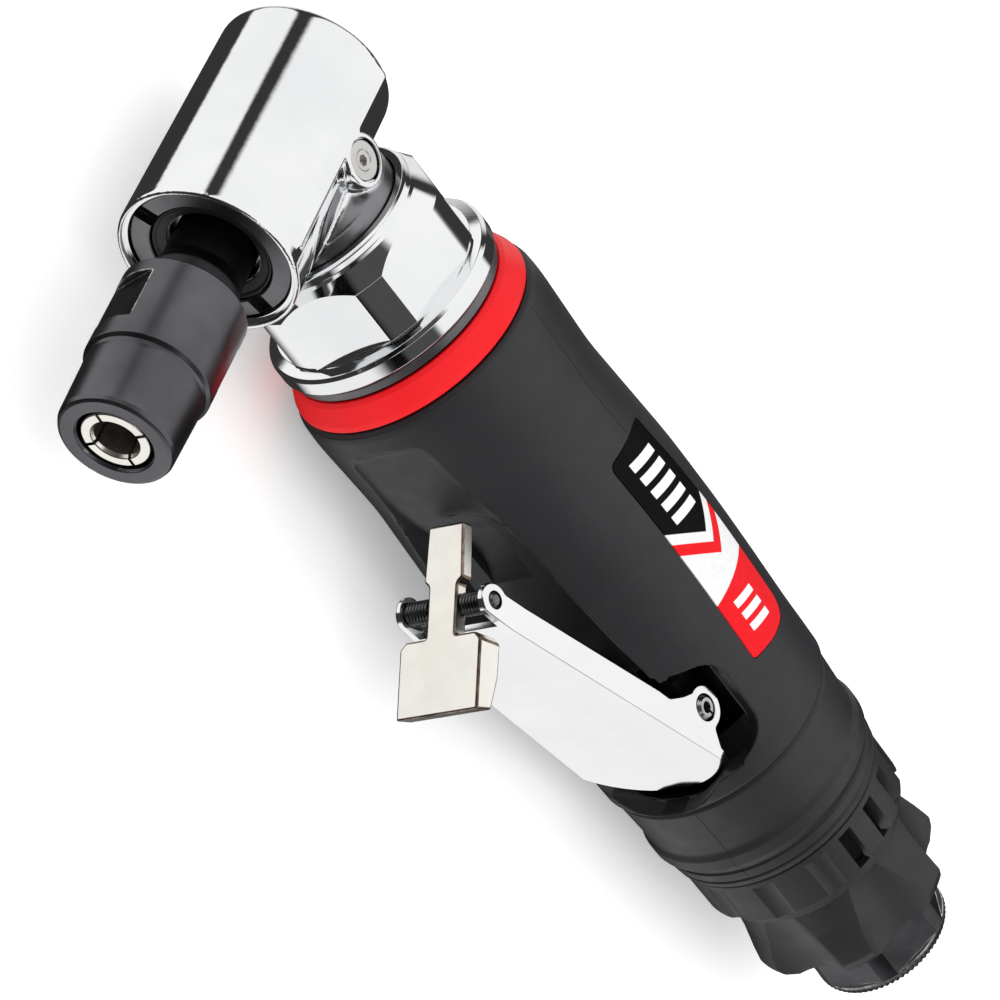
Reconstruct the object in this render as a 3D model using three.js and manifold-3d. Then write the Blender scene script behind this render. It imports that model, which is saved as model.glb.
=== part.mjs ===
// Right-angle air die grinder, millimetres, lying on its side: +X runs from the angle head to the air
// inlet, the collet points to -Y and +Z is up.
// Every piece is drawn in the tool's own frame, whose origin is the point where the motor axis (X) and
// the spindle axis (Y) cross. The exported group is moved so that its box stands on Z = 0, centred on Z.
import * as THREE from "three";
import { mergeVertices } from "three/addons/utils/BufferGeometryUtils.js";
import Module from "manifold-3d";

const wasm = await Module();
wasm.setup();

// ---- Driving dimensions ----
const GAP = 0.3; // between pieces that touch on the real tool

const FINE = 32; // sides of the large turned pieces
const COARSE = 16; // sides of the small ones

// Angle head, measured along the spindle axis towards the collet ("down")
const HEAD_TOP = -15;
const HEAD_RIM = 21.2;
const HEAD_TOP_R = 12.0;
const HEAD_RIM_R = 12.4;
const HEAD_BORE_R = 10.2;
const UPPER_BEARING_R = 7.0;
const SCREW = { x: 6.2, y: 0.8, bossR: 3.7, screwR: 2.8, face: 12.2 };
const CAP = { back: 17.9, face: 20.0, r: 11.0, boreR: 6.3, wellR: 8.4, wellFloor: 18.6, slotHalf: 1.3 };
const CAP_SLOTS = [9, 209]; // degrees round the spindle axis, from +X towards +Z

// Collet end
const SHANK_R = 3.15;
const NUT = {
  back: 28.8,
  shoulder: 42.3,
  face: 53.3,
  backR: 8.65,
  noseR: 8.1,
  faceR: 7.5,
  mouthR: 5.2,
  flatDistance: 7.6,
  flatFrom: 31.3,
  flatTo: 39.3,
};
const NUT_FLATS = [14.5, 194.5]; // degrees round the spindle axis, from +X towards +Z
const COLLET_SLITS = [86, 176];
const SPINDLE_NECK_R = 5.6;

// Mitre gears
const TEETH = 12;
const PITCH_R = 6.4;
const FACE_WIDTH = 2.3;

// Motor axis, measured back from the spindle axis
const CLAMP = {
  front: 12.8,
  flange: 26,
  back: 29.2,
  hexR: 15.65,
  flatDistance: 14.5,
  flangeR: 17.1,
};
const CLAMP_TURN = 12.8; // degrees, angle of one flat from -Y towards +Z
const RED_RING = { front: 31.2, back: 35.2 };
const HOUSING_R = 15.0;
const HOUSING_BORE_R = 11.3;
const LINER = { front: 44.8, back: 75.8, r: 11.0, boreR: 9.2, offset: 1.0 };
const ROTOR_R = 7.8;
const SHAFT_R = 2.9;
const VANES = 5;
const VANE_THICK = 1.0;
const GRIP = { front: 35.5, back: 114, boreR: 15.3 };
const COLLAR = { front: 114.3, back: 131 };
const DEFLECTOR = { front: 131.3, rim: 139.0, back: 141.2, r: 16.6, shoulderR: 15.2, boreR: 13.9 };
const WINDOWS = { count: 5, first: 61, pitch: 20, half: 1.25 }; // angles in degrees, from -Y towards +Z
const FLUTES = { count: 9, first: 42, pitch: -30, r: 3.0, depth: 0.65 };
const REGULATOR = { front: 141.5, widest: 151.8, back: 154.5, neckR: 13.9, lobeR: 16.0 };
const SCALLOPS = { count: 6, first: 57, r: 8, at: 20.3, tilt: 5.7 }; // each axis leans out in front
const INLET = {
  sleeveR: 9.3,
  hexFront: 154.8,
  hexBack: 161.6,
  end: 163.2,
  hexR: 10.7,
  flatDistance: 9.85,
  flatTurn: 59.5,
  boreR: 5.9,
};

// Throttle: pivots, lever plane and valve, as distance back (x) and distance out from the axis (out)
const LEVER_PIN = { x: 101, out: 11.2, r: 1.7 };
const CATCH_PIN = { x: 61.3, out: 26.2, r: 1.0 };
const LEVER = {
  front: 62.8,
  back: 113.4,
  slope: 0.29,
  outAtFront: 28.5,
  sheet: 1.4,
  frontHalf: 8,
  rearHalf: 12,
  flangeDepth: 4.4,
};
const POCKET = {
  front: 39,
  deepFront: 64,
  rear: 97,
  frontHalf: 7.4,
  rearHalf: 11.3,
  floor: 13.4,
  armFront: 53.4,
  armHalf: 3.6,
  armFloor: 12.2,
  earFloor: 7.2,
  tailFloor: 11.7,
  lugHalf: 9.4,
};
const VALVE = { x: 88, stemR: 1.5, tip: 19.3, seatR: 3.2 };

// ---- Making and joining solids ----

// A three.js geometry as a manifold-3d solid with its faces turned outwards.
function solid(geometry) {
  const bare = geometry.clone();
  bare.deleteAttribute("normal");
  bare.deleteAttribute("uv");
  const merged = mergeVertices(bare, 1e-4);
  const corners = merged.index.array;
  const kept = [];
  for (let i = 0; i < corners.length; i += 3) {
    const [a, b, c] = [corners[i], corners[i + 1], corners[i + 2]];
    if (a !== b && b !== c && c !== a) kept.push(a, b, c);
  }
  const build = (triVerts) =>
    new wasm.Manifold(
      new wasm.Mesh({
        numProp: 3,
        vertProperties: new Float32Array(merged.attributes.position.array),
        triVerts: new Uint32Array(triVerts),
      }),
    );
  const made = build(kept);
  return made.volume() < 0 ? build(kept.reverse()) : made;
}

function geometryOf(made) {
  const mesh = made.getMesh();
  const points = new Float32Array(mesh.numVert * 3);
  for (let i = 0; i < mesh.numVert; i++) {
    points.set(mesh.vertProperties.subarray(i * mesh.numProp, i * mesh.numProp + 3), i * 3);
  }
  const geometry = new THREE.BufferGeometry();
  geometry.setAttribute("position", new THREE.BufferAttribute(points, 3));
  geometry.setIndex(new THREE.BufferAttribute(mesh.triVerts, 1));
  geometry.computeVertexNormals();
  return geometry;
}

const join = (first, ...others) => others.reduce((sum, next) => sum.add(next), first);
const cut = (first, ...others) => others.reduce((rest, next) => rest.subtract(next), first);

// Turned pieces: a closed outline of [distance along the axis, radius] points.
function turned(outline, sides, turn) {
  const profile = outline.map(([along, radius]) => new THREE.Vector2(radius, along));
  if (outline.some(([, radius]) => radius > 0) && outline[0][1] > 0) profile.push(profile[0].clone());
  const geometry = new THREE.LatheGeometry(profile, sides);
  geometry.applyMatrix4(turn);
  return solid(geometry);
}
const ALONG_X = new THREE.Matrix4().makeRotationZ(-Math.PI / 2);
const ALONG_DOWN = new THREE.Matrix4().makeRotationZ(Math.PI); // "down" is -Y, towards the collet
const ALONG_Z = new THREE.Matrix4().makeRotationX(Math.PI / 2);
const turnedX = (outline, sides = FINE) => turned(outline, sides, ALONG_X);
const turnedDown = (outline, sides = FINE) => turned(outline, sides, ALONG_DOWN);
const turnedZ = (outline, sides = COARSE) => turned(outline, sides, ALONG_Z);

// Outlines for tubes and rods.
const tube = (from, to, outer, inner) => [
  [from, inner],
  [from, outer],
  [to, outer],
  [to, inner],
];
const rod = (from, to, radius) => [
  [from, 0],
  [from, radius],
  [to, radius],
  [to, 0],
];

const box = (x0, x1, y0, y1, z0, z1) =>
  solid(new THREE.BoxGeometry(x1 - x0, y1 - y0, z1 - z0)).translate(
    (x0 + x1) / 2,
    (y0 + y1) / 2,
    (z0 + z1) / 2,
  );

// A side view, drawn as [x, out] with out measured towards -Y, extruded from z0 to z1.
function sidePlate(shape, z0, z1) {
  const geometry = new THREE.ExtrudeGeometry(shape, {
    depth: z1 - z0,
    bevelEnabled: false,
    curveSegments: 8,
  });
  geometry.translate(0, 0, z0);
  geometry.scale(1, -1, 1);
  return solid(geometry);
}

// A plan seen along the out direction, drawn as [x, z], extruded from one distance out to another.
function planPlate(shape, from, to) {
  const geometry = new THREE.ExtrudeGeometry(shape, {
    depth: to - from,
    bevelEnabled: false,
    curveSegments: 8,
  });
  geometry.translate(0, 0, from);
  geometry.rotateX(Math.PI / 2);
  return solid(geometry);
}

// A closed outline with rounded corners: points are [x, y, corner radius].
function roundedShape(points) {
  const shape = new THREE.Shape();
  const count = points.length;
  points.forEach(([x, y, radius], i) => {
    const [bx, by] = points[(i + count - 1) % count];
    const [ax, ay] = points[(i + 1) % count];
    const back = new THREE.Vector2(bx - x, by - y).setLength(radius);
    const ahead = new THREE.Vector2(ax - x, ay - y).setLength(radius);
    if (i === 0) shape.moveTo(x + back.x, y + back.y);
    else shape.lineTo(x + back.x, y + back.y);
    if (radius > 0) shape.quadraticCurveTo(x, y, x + ahead.x, y + ahead.y);
  });
  shape.closePath();
  return shape;
}

// An angle around the motor axis is measured from -Y (the lever side) towards +Z.
const aroundX = (made, degrees) => made.rotate(-degrees, 0, 0);

// ---- Scene graph ----
const tool = new THREE.Group();

function finish(color, roughness, metalness) {
  return () => new THREE.MeshStandardMaterial({ color, roughness, metalness });
}
const CHROME = finish(0xd9dcdf, 0.12, 1);
const STEEL = finish(0x9da0a3, 0.3, 1);
const BLACK_OXIDE = finish(0x2b2b2f, 0.38, 0.8);
const DARK_CAP = finish(0x4b4b4f, 0.5, 0.7);
const ALLOY = finish(0x6f7276, 0.4, 1);
const BLACK_ALLOY = finish(0x101012, 0.55, 0.4);
const RUBBER = finish(0x343438, 0.62, 0);
const DARK_PLASTIC = finish(0x323236, 0.5, 0);
const RED = finish(0xe3222b, 0.45, 0);
const NICKEL = finish(0xe6dfd2, 0.3, 0.9);
const SPRING_STEEL = finish(0x17171a, 0.4, 0.8);
const PHENOLIC = finish(0x6b4a2c, 0.7, 0);
const SEAL = finish(0x141416, 0.7, 0);
const FELT = finish(0x5b5a55, 0.95, 0);
const LABEL = finish(0xd8262b, 0.4, 0);

function add(name, made, material) {
  const mesh = new THREE.Mesh(geometryOf(made), material());
  mesh.name = name;
  tool.add(mesh);
}

// ---- Angle head ----
function angleHousing() {
  const body = turnedDown([
    [HEAD_TOP, 0],
    [HEAD_TOP, HEAD_TOP_R - 1],
    [HEAD_TOP + 0.35, HEAD_TOP_R - 0.3],
    [HEAD_TOP + 1, HEAD_TOP_R],
    [HEAD_RIM - 0.3, HEAD_RIM_R],
    [HEAD_RIM, HEAD_RIM_R - 0.25],
    [HEAD_RIM, 0],
  ]);
  const wing = box(0, 3.2, -18.6, 13.6, -12.3, 12.3);
  const boss = turnedZ(rod(6, SCREW.face, SCREW.bossR)).translate(SCREW.x, SCREW.y, 0);
  const neck = turnedX([
    [3, 0],
    [3, 8.6],
    [8.2, 9.4],
    [10.6, 11.5],
    [16.7, 11.5],
    [16.7, 13.0],
    [18.6, 13.0],
    [18.6, 11.5],
    [27, 11.5],
    [27, 0],
  ]);
  const spindleBore = turnedDown([
    [-12.9, 0],
    [-12.9, UPPER_BEARING_R + 0.2],
    [-8.9, UPPER_BEARING_R + 0.2],
    [-8.9, HEAD_BORE_R],
    [17.6, HEAD_BORE_R],
    [17.6, 11.3],
    [20.2, 11.3],
    [20.2, 11.8],
    [HEAD_RIM + 1, 11.8],
    [HEAD_RIM + 1, 0],
  ]);
  const pinionBore = turnedX([
    [0, 0],
    [0, 7.8],
    [18.4, 7.8],
    [18.4, 9],
    [28, 9],
    [28, 0],
  ]);
  const screwHole = turnedZ(rod(10.6, SCREW.face + 1, SCREW.screwR + GAP));
  return cut(
    join(body, wing, boss, neck),
    spindleBore,
    pinionBore,
    screwHole.translate(SCREW.x, SCREW.y, 0),
  );
}

function headCap() {
  const ring = turnedDown([
    [CAP.back, CAP.boreR],
    [CAP.back, CAP.r],
    [CAP.face, CAP.r],
    [CAP.face, CAP.wellR],
    [CAP.wellFloor, CAP.wellR],
    [CAP.wellFloor, CAP.boreR],
  ]);
  const slots = CAP_SLOTS.map((angle) =>
    box(CAP.wellR - 0.8, 12, -30, -CAP.wellFloor, -CAP.slotHalf, CAP.slotHalf).rotate(0, -angle, 0),
  );
  return cut(ring, ...slots);
}

function greaseScrew() {
  const body = turnedZ(rod(10.9, SCREW.face - 0.15, SCREW.screwR)).translate(SCREW.x, SCREW.y, 0);
  const socket = solid(new THREE.CylinderGeometry(1.05, 1.05, 3, 6).rotateX(Math.PI / 2));
  return cut(body, socket.translate(SCREW.x, SCREW.y, SCREW.face));
}

// One mitre gear about +X with its apex at the origin: a toothed section that shrinks towards the apex.
function mitreGear(phase) {
  const tip = 1.09;
  const root = 0.86;
  const shape = new THREE.Shape();
  const step = (2 * Math.PI) / TEETH;
  const point = (angle, radius) => [radius * PITCH_R * Math.cos(angle), radius * PITCH_R * Math.sin(angle)];
  for (let i = 0; i < TEETH; i++) {
    const middle = (i + phase) * step;
    if (i === 0) shape.moveTo(...point(middle - 0.27 * step, root));
    else shape.lineTo(...point(middle - 0.27 * step, root));
    shape.lineTo(...point(middle - 0.11 * step, tip));
    shape.lineTo(...point(middle + 0.11 * step, tip));
    shape.lineTo(...point(middle + 0.27 * step, root));
  }
  shape.closePath();
  const geometry = new THREE.ExtrudeGeometry(shape, { depth: FACE_WIDTH, bevelEnabled: false });
  geometry.translate(0, 0, PITCH_R - FACE_WIDTH);
  const place = geometry.attributes.position;
  for (let i = 0; i < place.count; i++) {
    const shrink = place.getZ(i) / PITCH_R;
    place.setXY(i, place.getX(i) * shrink, place.getY(i) * shrink);
  }
  geometry.rotateY(Math.PI / 2);
  return solid(geometry);
}

function spindle() {
  return cut(
    turnedDown([
      [-12.5, 0],
      [-12.5, 2.6],
      [-3.6, 2.6],
      [-3.6, 2.9],
      [8.6, 2.9],
      [8.6, 6],
      [10.2, 6],
      [10.2, 4.7],
      [17, 4.7],
      [17, SPINDLE_NECK_R],
      [30.5, SPINDLE_NECK_R],
      [31.5, 6.4],
      [46, 6.4],
      [46, 0],
    ]),
    turnedDown(
      [
        [29.5, 0],
        [29.5, 4.6],
        [43.5, 4.6],
        [47, 5.9],
        [47, 0],
      ],
      COARSE,
    ),
  );
}

function spindleBevelGear() {
  const toothed = mitreGear(0.5).rotate(0, 0, 90);
  const hub = turnedDown(rod(-8.6, -PITCH_R, 5.2), COARSE);
  return cut(join(toothed, hub), turnedDown(rod(-10, 0, 2.6 + GAP), COARSE));
}

function collet() {
  const body = turnedDown(
    [
      [30.2, 0],
      [30.2, 4.3],
      [43.3, 4.3],
      [46.6, 5.6],
      [48, 5.6],
      [49.4, 4.7],
      [52.9, 4.7],
      [52.9, 0],
    ],
    COARSE,
  );
  const bore = turnedDown(rod(29, 54, SHANK_R), COARSE);
  const slits = COLLET_SLITS.map((angle) => box(-6, 6, -54, -33, -0.25, 0.25).rotate(0, -angle, 0));
  return cut(body, bore, ...slits);
}

function colletNut() {
  const outside = turnedDown([
    [NUT.back, 0],
    [NUT.back, NUT.backR - 0.5],
    [NUT.back + 0.5, NUT.backR],
    [NUT.shoulder, NUT.backR],
    [NUT.shoulder + 0.8, NUT.noseR],
    [NUT.face - 0.9, NUT.noseR - 0.2],
    [NUT.face - 0.3, NUT.faceR + 0.25],
    [NUT.face, NUT.faceR],
    [NUT.face, 0],
  ]);
  const inside = turnedDown([
    [NUT.back - 1, 0],
    [NUT.back - 1, 6.7],
    [46.6, 6.7],
    [48.6, 5.9],
    [49.6, NUT.mouthR],
    [NUT.face + 1, NUT.mouthR],
    [NUT.face + 1, 0],
  ]);
  const flats = NUT_FLATS.map((angle) =>
    box(NUT.flatDistance, 12, -NUT.flatTo, -NUT.flatFrom, -8, 8).rotate(0, -angle, 0),
  );
  return cut(outside, inside, ...flats);
}

const ring = (down, from, to, outer, inner) =>
  (down ? turnedDown : turnedX)(tube(from, to, outer, inner), COARSE);

// ---- Clamp nut and front rings ----
function clampNut() {
  const outside = turnedX([
    [CLAMP.front, 0],
    [CLAMP.front, 13.2],
    [CLAMP.front + 0.7, 13.6],
    [CLAMP.front + 4.2, CLAMP.hexR],
    [CLAMP.flange, CLAMP.hexR],
    [CLAMP.flange, CLAMP.flangeR - 0.5],
    [CLAMP.flange + 0.6, CLAMP.flangeR],
    [CLAMP.back - 0.4, CLAMP.flangeR],
    [CLAMP.back, CLAMP.flangeR - 0.4],
    [CLAMP.back, 0],
  ]);
  const inside = turnedX([
    [CLAMP.front - 1, 0],
    [CLAMP.front - 1, 11.9],
    [16.4, 11.9],
    [16.4, 13.4],
    [CLAMP.back + 1, 13.4],
    [CLAMP.back + 1, 0],
  ]);
  const flats = [];
  for (let i = 0; i < 6; i++) {
    const flat = box(CLAMP.front + 1, CLAMP.flange - 0.5, -20, -CLAMP.flatDistance, -9, 9);
    flats.push(aroundX(flat, CLAMP_TURN + i * 60));
  }
  return cut(outside, inside, ...flats);
}

const clampSpacer = () => turnedX(tube(29.5, 30.9, 16.4, 13.5));

function redTrimRing() {
  return turnedX([
    [RED_RING.front, 15.3],
    [RED_RING.front, 16.6],
    [RED_RING.front + 0.5, 17.0],
    [RED_RING.back - 0.8, 18.2],
    [RED_RING.back, 18.3],
    [RED_RING.back, 15.3],
  ]);
}

// ---- Motor ----
function motorHousing() {
  const outside = turnedX([
    [18.9, 0],
    [18.9, 13.1],
    [29.2, 13.1],
    [31.2, 13.1],
    [31.2, HOUSING_R],
    [131, HOUSING_R],
    [131, 12.4],
    [139.5, 12.4],
    [139.5, 0],
  ]);
  const motorBore = turnedX([
    [18, 0],
    [18, 11.8],
    [28, 11.8],
    [28, 9],
    [37.6, 9],
    [37.6, HOUSING_BORE_R],
    [83, HOUSING_BORE_R],
    [83, 4],
    [120, 4],
    [120, INLET.sleeveR + GAP],
    [141, INLET.sleeveR + GAP],
    [141, 0],
  ]);
  const floorCut = box(POCKET.armFront, COLLAR.front - 0.5, -20, -POCKET.floor, -20, 20);
  const tailCut = box(106.5, COLLAR.front - 0.5, -20, -POCKET.tailFloor, -13, 13);
  const armGroove = box(POCKET.armFront, 73, -20, -POCKET.armFloor, -POCKET.armHalf, POCKET.armHalf);
  const earSlot = (z0, z1) => box(95.2, 106.8, -20, -POCKET.earFloor, z0, z1);
  const lug = sidePlate(
    roundedShape([
      [97.2, 9, 0],
      [106, 9, 0],
      [104.4, 14.3, 1],
      [98.6, 14.3, 1],
    ]),
    -POCKET.lugHalf,
    POCKET.lugHalf,
  );
  const pinHole = turnedZ(rod(-16, 16, LEVER_PIN.r + GAP), 20).translate(LEVER_PIN.x, -LEVER_PIN.out, 0);
  const valveBore = turnedDown(rod(-7, 16, 4.8), COARSE).translate(VALVE.x, 0, 0);
  return cut(
    join(
      cut(
        outside,
        motorBore,
        floorCut,
        tailCut,
        armGroove,
        earSlot(POCKET.lugHalf, 16),
        earSlot(-16, -POCKET.lugHalf),
      ),
      lug,
    ),
    pinHole,
    valveBore,
  );
}

function endPlate(from, to, pocketFrom, pocketTo) {
  const plate = turnedX(tube(from, to, LINER.r, SHAFT_R + 0.5));
  return cut(plate, turnedX(rod(pocketFrom, pocketTo, 8 + 0.2), COARSE));
}

function cylinderLiner() {
  const bore = turnedX(rod(LINER.front - 1, LINER.back + 1, LINER.boreR)).translate(0, LINER.offset, 0);
  return cut(turnedX(rod(LINER.front, LINER.back, LINER.r)), bore);
}

function rotor() {
  const body = turnedX(
    [
      [31, 0],
      [31, SHAFT_R - 0.4],
      [37.6, SHAFT_R - 0.4],
      [37.6, SHAFT_R],
      [LINER.front + GAP, SHAFT_R],
      [LINER.front + GAP, ROTOR_R],
      [LINER.back - GAP, ROTOR_R],
      [LINER.back - GAP, SHAFT_R],
      [82, SHAFT_R],
      [82, 0],
    ],
    COARSE,
  );
  const slots = [];
  for (let i = 0; i < VANES; i++) {
    const half = VANE_THICK / 2 + GAP;
    const slot = box(LINER.front, LINER.back, -9, -3.6, -half, half);
    slots.push(aroundX(slot, (i * 360) / VANES));
  }
  return cut(body, ...slots);
}

function vane(i) {
  const half = VANE_THICK / 2;
  const blade = box(LINER.front + 0.6, LINER.back - 0.6, -7.9, -3.9, -half, half);
  return aroundX(blade, (i * 360) / VANES);
}

// ---- Bevel drive ----
function bevelPinion() {
  const hub = turnedX(
    [
      [PITCH_R - 0.01, 0],
      [PITCH_R - 0.01, 5.2],
      [12.4, 5.2],
      [12.4, SHAFT_R],
      [29.6, SHAFT_R],
      [29.6, 0],
    ],
    COARSE,
  );
  return join(mitreGear(0), hub);
}

const driveCoupling = () =>
  turnedX(
    [
      [24, SHAFT_R + 0.2],
      [24, 5.4],
      [36.6, 5.4],
      [36.6, SHAFT_R + 0.2],
    ],
    COARSE,
  );

// ---- Grip and rear rings ----

// Outline of the grip from the red ring to its rear edge, [x, radius].
const GRIP_OUTLINE = [
  [GRIP.front, 18.4],
  [GRIP.front + 0.8, 18.75],
  [40, 18.85],
  [47, 18.55],
  [53, 18.35],
  [59, 18.6],
  [65, 18.9],
  [72, 19.25],
  [86, 19.25],
  [95, 18.95],
  [104, 18.6],
  [112.6, 18.45],
  [GRIP.back, 18.1],
];
const offsetOutline = (by) => GRIP_OUTLINE.map(([x, r]) => [x, r + by]);

// Plan of the recess under the lever, [x, z], from one station to its rear end.
function recessPlan(from) {
  const widen = (POCKET.rearHalf - POCKET.frontHalf) / (POCKET.rear - POCKET.front);
  const half = POCKET.frontHalf + (from - POCKET.front) * widen;
  return roundedShape([
    [from, -half, 1],
    [POCKET.rear, -POCKET.rearHalf, 0],
    [POCKET.rear, POCKET.rearHalf, 0],
    [from, half, 1],
  ]);
}

// Everything that the lever, its ears and the lock-off arm need clear, out of the grip.
function pocketCutters() {
  const open = 24;
  const ramp = turnedX([
    [POCKET.front, 18.95],
    [49, 17.75],
    [56, 16.9],
    [POCKET.deepFront + 1, 15.5],
    [POCKET.deepFront + 1, open],
    [POCKET.front, open],
  ]).intersect(planPlate(recessPlan(POCKET.front), 5, open));
  const deep = planPlate(recessPlan(POCKET.deepFront), 11, open);
  const armSlot = box(POCKET.armFront, POCKET.deepFront + 2, -open, -11, -POCKET.armHalf, POCKET.armHalf);
  const rear = planPlate(leverPlan(0.7, 90), 11, open);
  const scoop = sidePlate(
    roundedShape([
      [91.5, POCKET.earFloor, 4.5],
      [110.8, POCKET.earFloor, 4.5],
      [110.8, open, 0],
      [91.5, open, 0],
    ]),
    -30,
    30,
  );
  return [ramp, deep, armSlot, rear, scoop];
}

// Plan of the lever's outer plate, [x, z]: it widens towards the rear pivot and ends in one arc.
function leverPlan(clear, from = LEVER.front - 4) {
  const cornerX = 107;
  const widen = (LEVER.rearHalf - LEVER.frontHalf) / (cornerX - 64);
  const half = (x) => LEVER.frontHalf + (x - 64) * widen + clear;
  const shape = new THREE.Shape();
  shape.moveTo(from, -half(from));
  shape.lineTo(cornerX, -half(cornerX));
  const sagitta = LEVER.back + clear - cornerX;
  const chord = half(cornerX);
  const radius = (chord * chord + sagitta * sagitta) / (2 * sagitta);
  const reach = Math.asin(chord / radius);
  for (let i = 1; i < 10; i++) {
    const angle = -reach + (2 * reach * i) / 10;
    const middle = LEVER.back + clear - radius;
    shape.lineTo(middle + radius * Math.cos(angle), radius * Math.sin(angle));
  }
  shape.lineTo(cornerX, half(cornerX));
  shape.lineTo(from, half(from));
  shape.closePath();
  return shape;
}

const decalShape = (grow) =>
  roundedShape([
    [61.4 - grow, -4.4 - grow, 1.2],
    [101.2 + grow, -4.4 - grow, 3.2],
    [101.6 + grow, 4.6 + grow, 3.2],
    [62.0 - grow, 6.2 + grow, 1.2],
  ]);

// The decal's plate, seen from +Z: x and y as drawn.
function decalPrism(grow) {
  const geometry = new THREE.ExtrudeGeometry(decalShape(grow), { depth: 12, bevelEnabled: false });
  geometry.translate(0, 0, 10);
  return solid(geometry);
}

function sideDecal() {
  const skin = turnedX(closedAround(offsetOutline(-0.05), offsetOutline(-0.33)));
  return skin.intersect(decalPrism(0));
}

// A closed ring outline between an outer and an inner line with the same stations.
const closedAround = (outer, inner) => [...outer, ...inner.slice().reverse()];

function rubberGrip() {
  const sleeve = turnedX([
    [GRIP.front, GRIP.boreR],
    ...GRIP_OUTLINE,
    [GRIP.back, GRIP.boreR],
  ]);
  const recess = turnedX(closedAround(offsetOutline(1), offsetOutline(-0.43)));
  return cut(sleeve, recess.intersect(decalPrism(0.15)), ...pocketCutters());
}

function rearCollar() {
  return turnedX([
    [COLLAR.front, GRIP.boreR],
    [COLLAR.front, 17.6],
    [COLLAR.front + 0.5, 17.8],
    [121.5, 17.5],
    [123.4, 17.5],
    [124.2, 17.95],
    [126.4, 17.9],
    [127.4, 17.3],
    [127.7, 17.0],
    [128.0, 17.2],
    [129.4, 17.1],
    [129.7, 16.8],
    [130.0, 17.0],
    [COLLAR.back, 16.8],
    [COLLAR.back, GRIP.boreR],
  ]);
}

// Open windows on one side let the exhaust out; shallow flutes grip the fingers all the way round the rest.
function exhaustDeflector() {
  const shell = turnedX([
    [DEFLECTOR.front, DEFLECTOR.boreR],
    [DEFLECTOR.front, DEFLECTOR.r],
    [DEFLECTOR.rim, DEFLECTOR.r - 0.1],
    [DEFLECTOR.rim + 0.3, DEFLECTOR.shoulderR],
    [DEFLECTOR.back, DEFLECTOR.shoulderR - 0.2],
    [DEFLECTOR.back, 9.8],
    [DEFLECTOR.back - 1.3, 9.8],
    [DEFLECTOR.back - 1.3, DEFLECTOR.boreR],
  ]);
  const cuts = [];
  for (let i = 0; i < WINDOWS.count; i++) {
    const opening = box(132.2, DEFLECTOR.rim + 0.6, -18, -13.1, -WINDOWS.half, WINDOWS.half);
    cuts.push(aroundX(opening, WINDOWS.first + i * WINDOWS.pitch));
  }
  const fluteAt = DEFLECTOR.r - FLUTES.depth + FLUTES.r;
  for (let i = 0; i < FLUTES.count; i++) {
    const flute = turnedX(rod(132.2, DEFLECTOR.back + 1, FLUTES.r), 24).translate(0, -fluteAt, 0);
    cuts.push(aroundX(flute, FLUTES.first + i * FLUTES.pitch));
  }
  return cut(shell, ...cuts);
}

function regulatorRing() {
  const flare = turnedX([
    [REGULATOR.front, INLET.sleeveR + 0.4],
    [REGULATOR.front, REGULATOR.neckR],
    [146, REGULATOR.neckR + 0.7],
    [149.4, REGULATOR.lobeR - 0.5],
    [REGULATOR.widest, REGULATOR.lobeR],
    [153, REGULATOR.lobeR - 0.5],
    [REGULATOR.back, REGULATOR.neckR],
    [REGULATOR.back, INLET.sleeveR + 0.4],
  ]);
  const scallops = [];
  for (let i = 0; i < SCALLOPS.count; i++) {
    const groove = turnedX(rod(-16, 8, SCALLOPS.r), 32)
      .rotate(0, 0, SCALLOPS.tilt)
      .translate(REGULATOR.widest, -SCALLOPS.at, 0);
    scallops.push(aroundX(groove, SCALLOPS.first + (i * 360) / SCALLOPS.count));
  }
  return cut(flare, ...scallops);
}

function inletBushing() {
  const outside = turnedX([
    [121, 0],
    [121, INLET.sleeveR],
    [INLET.hexFront, INLET.sleeveR],
    [INLET.hexFront, INLET.hexR],
    [INLET.end, INLET.hexR],
    [INLET.end, 0],
  ]);
  const flats = [];
  for (let i = 0; i < 6; i++) {
    const flat = box(154, INLET.hexBack, -13, -INLET.flatDistance, -8, 8);
    flats.push(aroundX(flat, INLET.flatTurn + i * 60));
  }
  const bore = turnedX([
    [120, 0],
    [120, 4],
    [142, 4],
    [142, INLET.boreR],
    [INLET.end + 1, INLET.boreR],
    [INLET.end + 1, 0],
  ]);
  return cut(outside, bore, ...flats);
}

// ---- Throttle ----
const leverOut = (x) => LEVER.outAtFront - (x - LEVER.front) * LEVER.slope;

function leverSide() {
  const shape = new THREE.Shape();
  const arcPoints = (cx, cy, radius, from, to, steps) => {
    for (let i = 0; i <= steps; i++) {
      const angle = THREE.MathUtils.degToRad(from + ((to - from) * i) / steps);
      shape.lineTo(cx + radius * Math.cos(angle), cy + radius * Math.sin(angle));
    }
  };
  shape.moveTo(66, leverOut(66));
  shape.lineTo(LEVER.back + 1, leverOut(LEVER.back + 1));
  shape.lineTo(LEVER.back + 1, leverOut(LEVER.back + 1) - LEVER.sheet);
  shape.lineTo(106.4, leverOut(106.4) - LEVER.sheet - 0.4);
  arcPoints(LEVER_PIN.x, LEVER_PIN.out, 3.3, 20, -180, 12);
  shape.lineTo(96.6, 12.8);
  shape.lineTo(94.6, 14.9);
  shape.lineTo(92.4, leverOut(92.4) - LEVER.flangeDepth - 0.2);
  shape.lineTo(66, leverOut(66) - LEVER.flangeDepth);
  arcPoints(CATCH_PIN.x, CATCH_PIN.out, 2.4, -62, -262, 10);
  shape.closePath();
  return shape;
}

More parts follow.
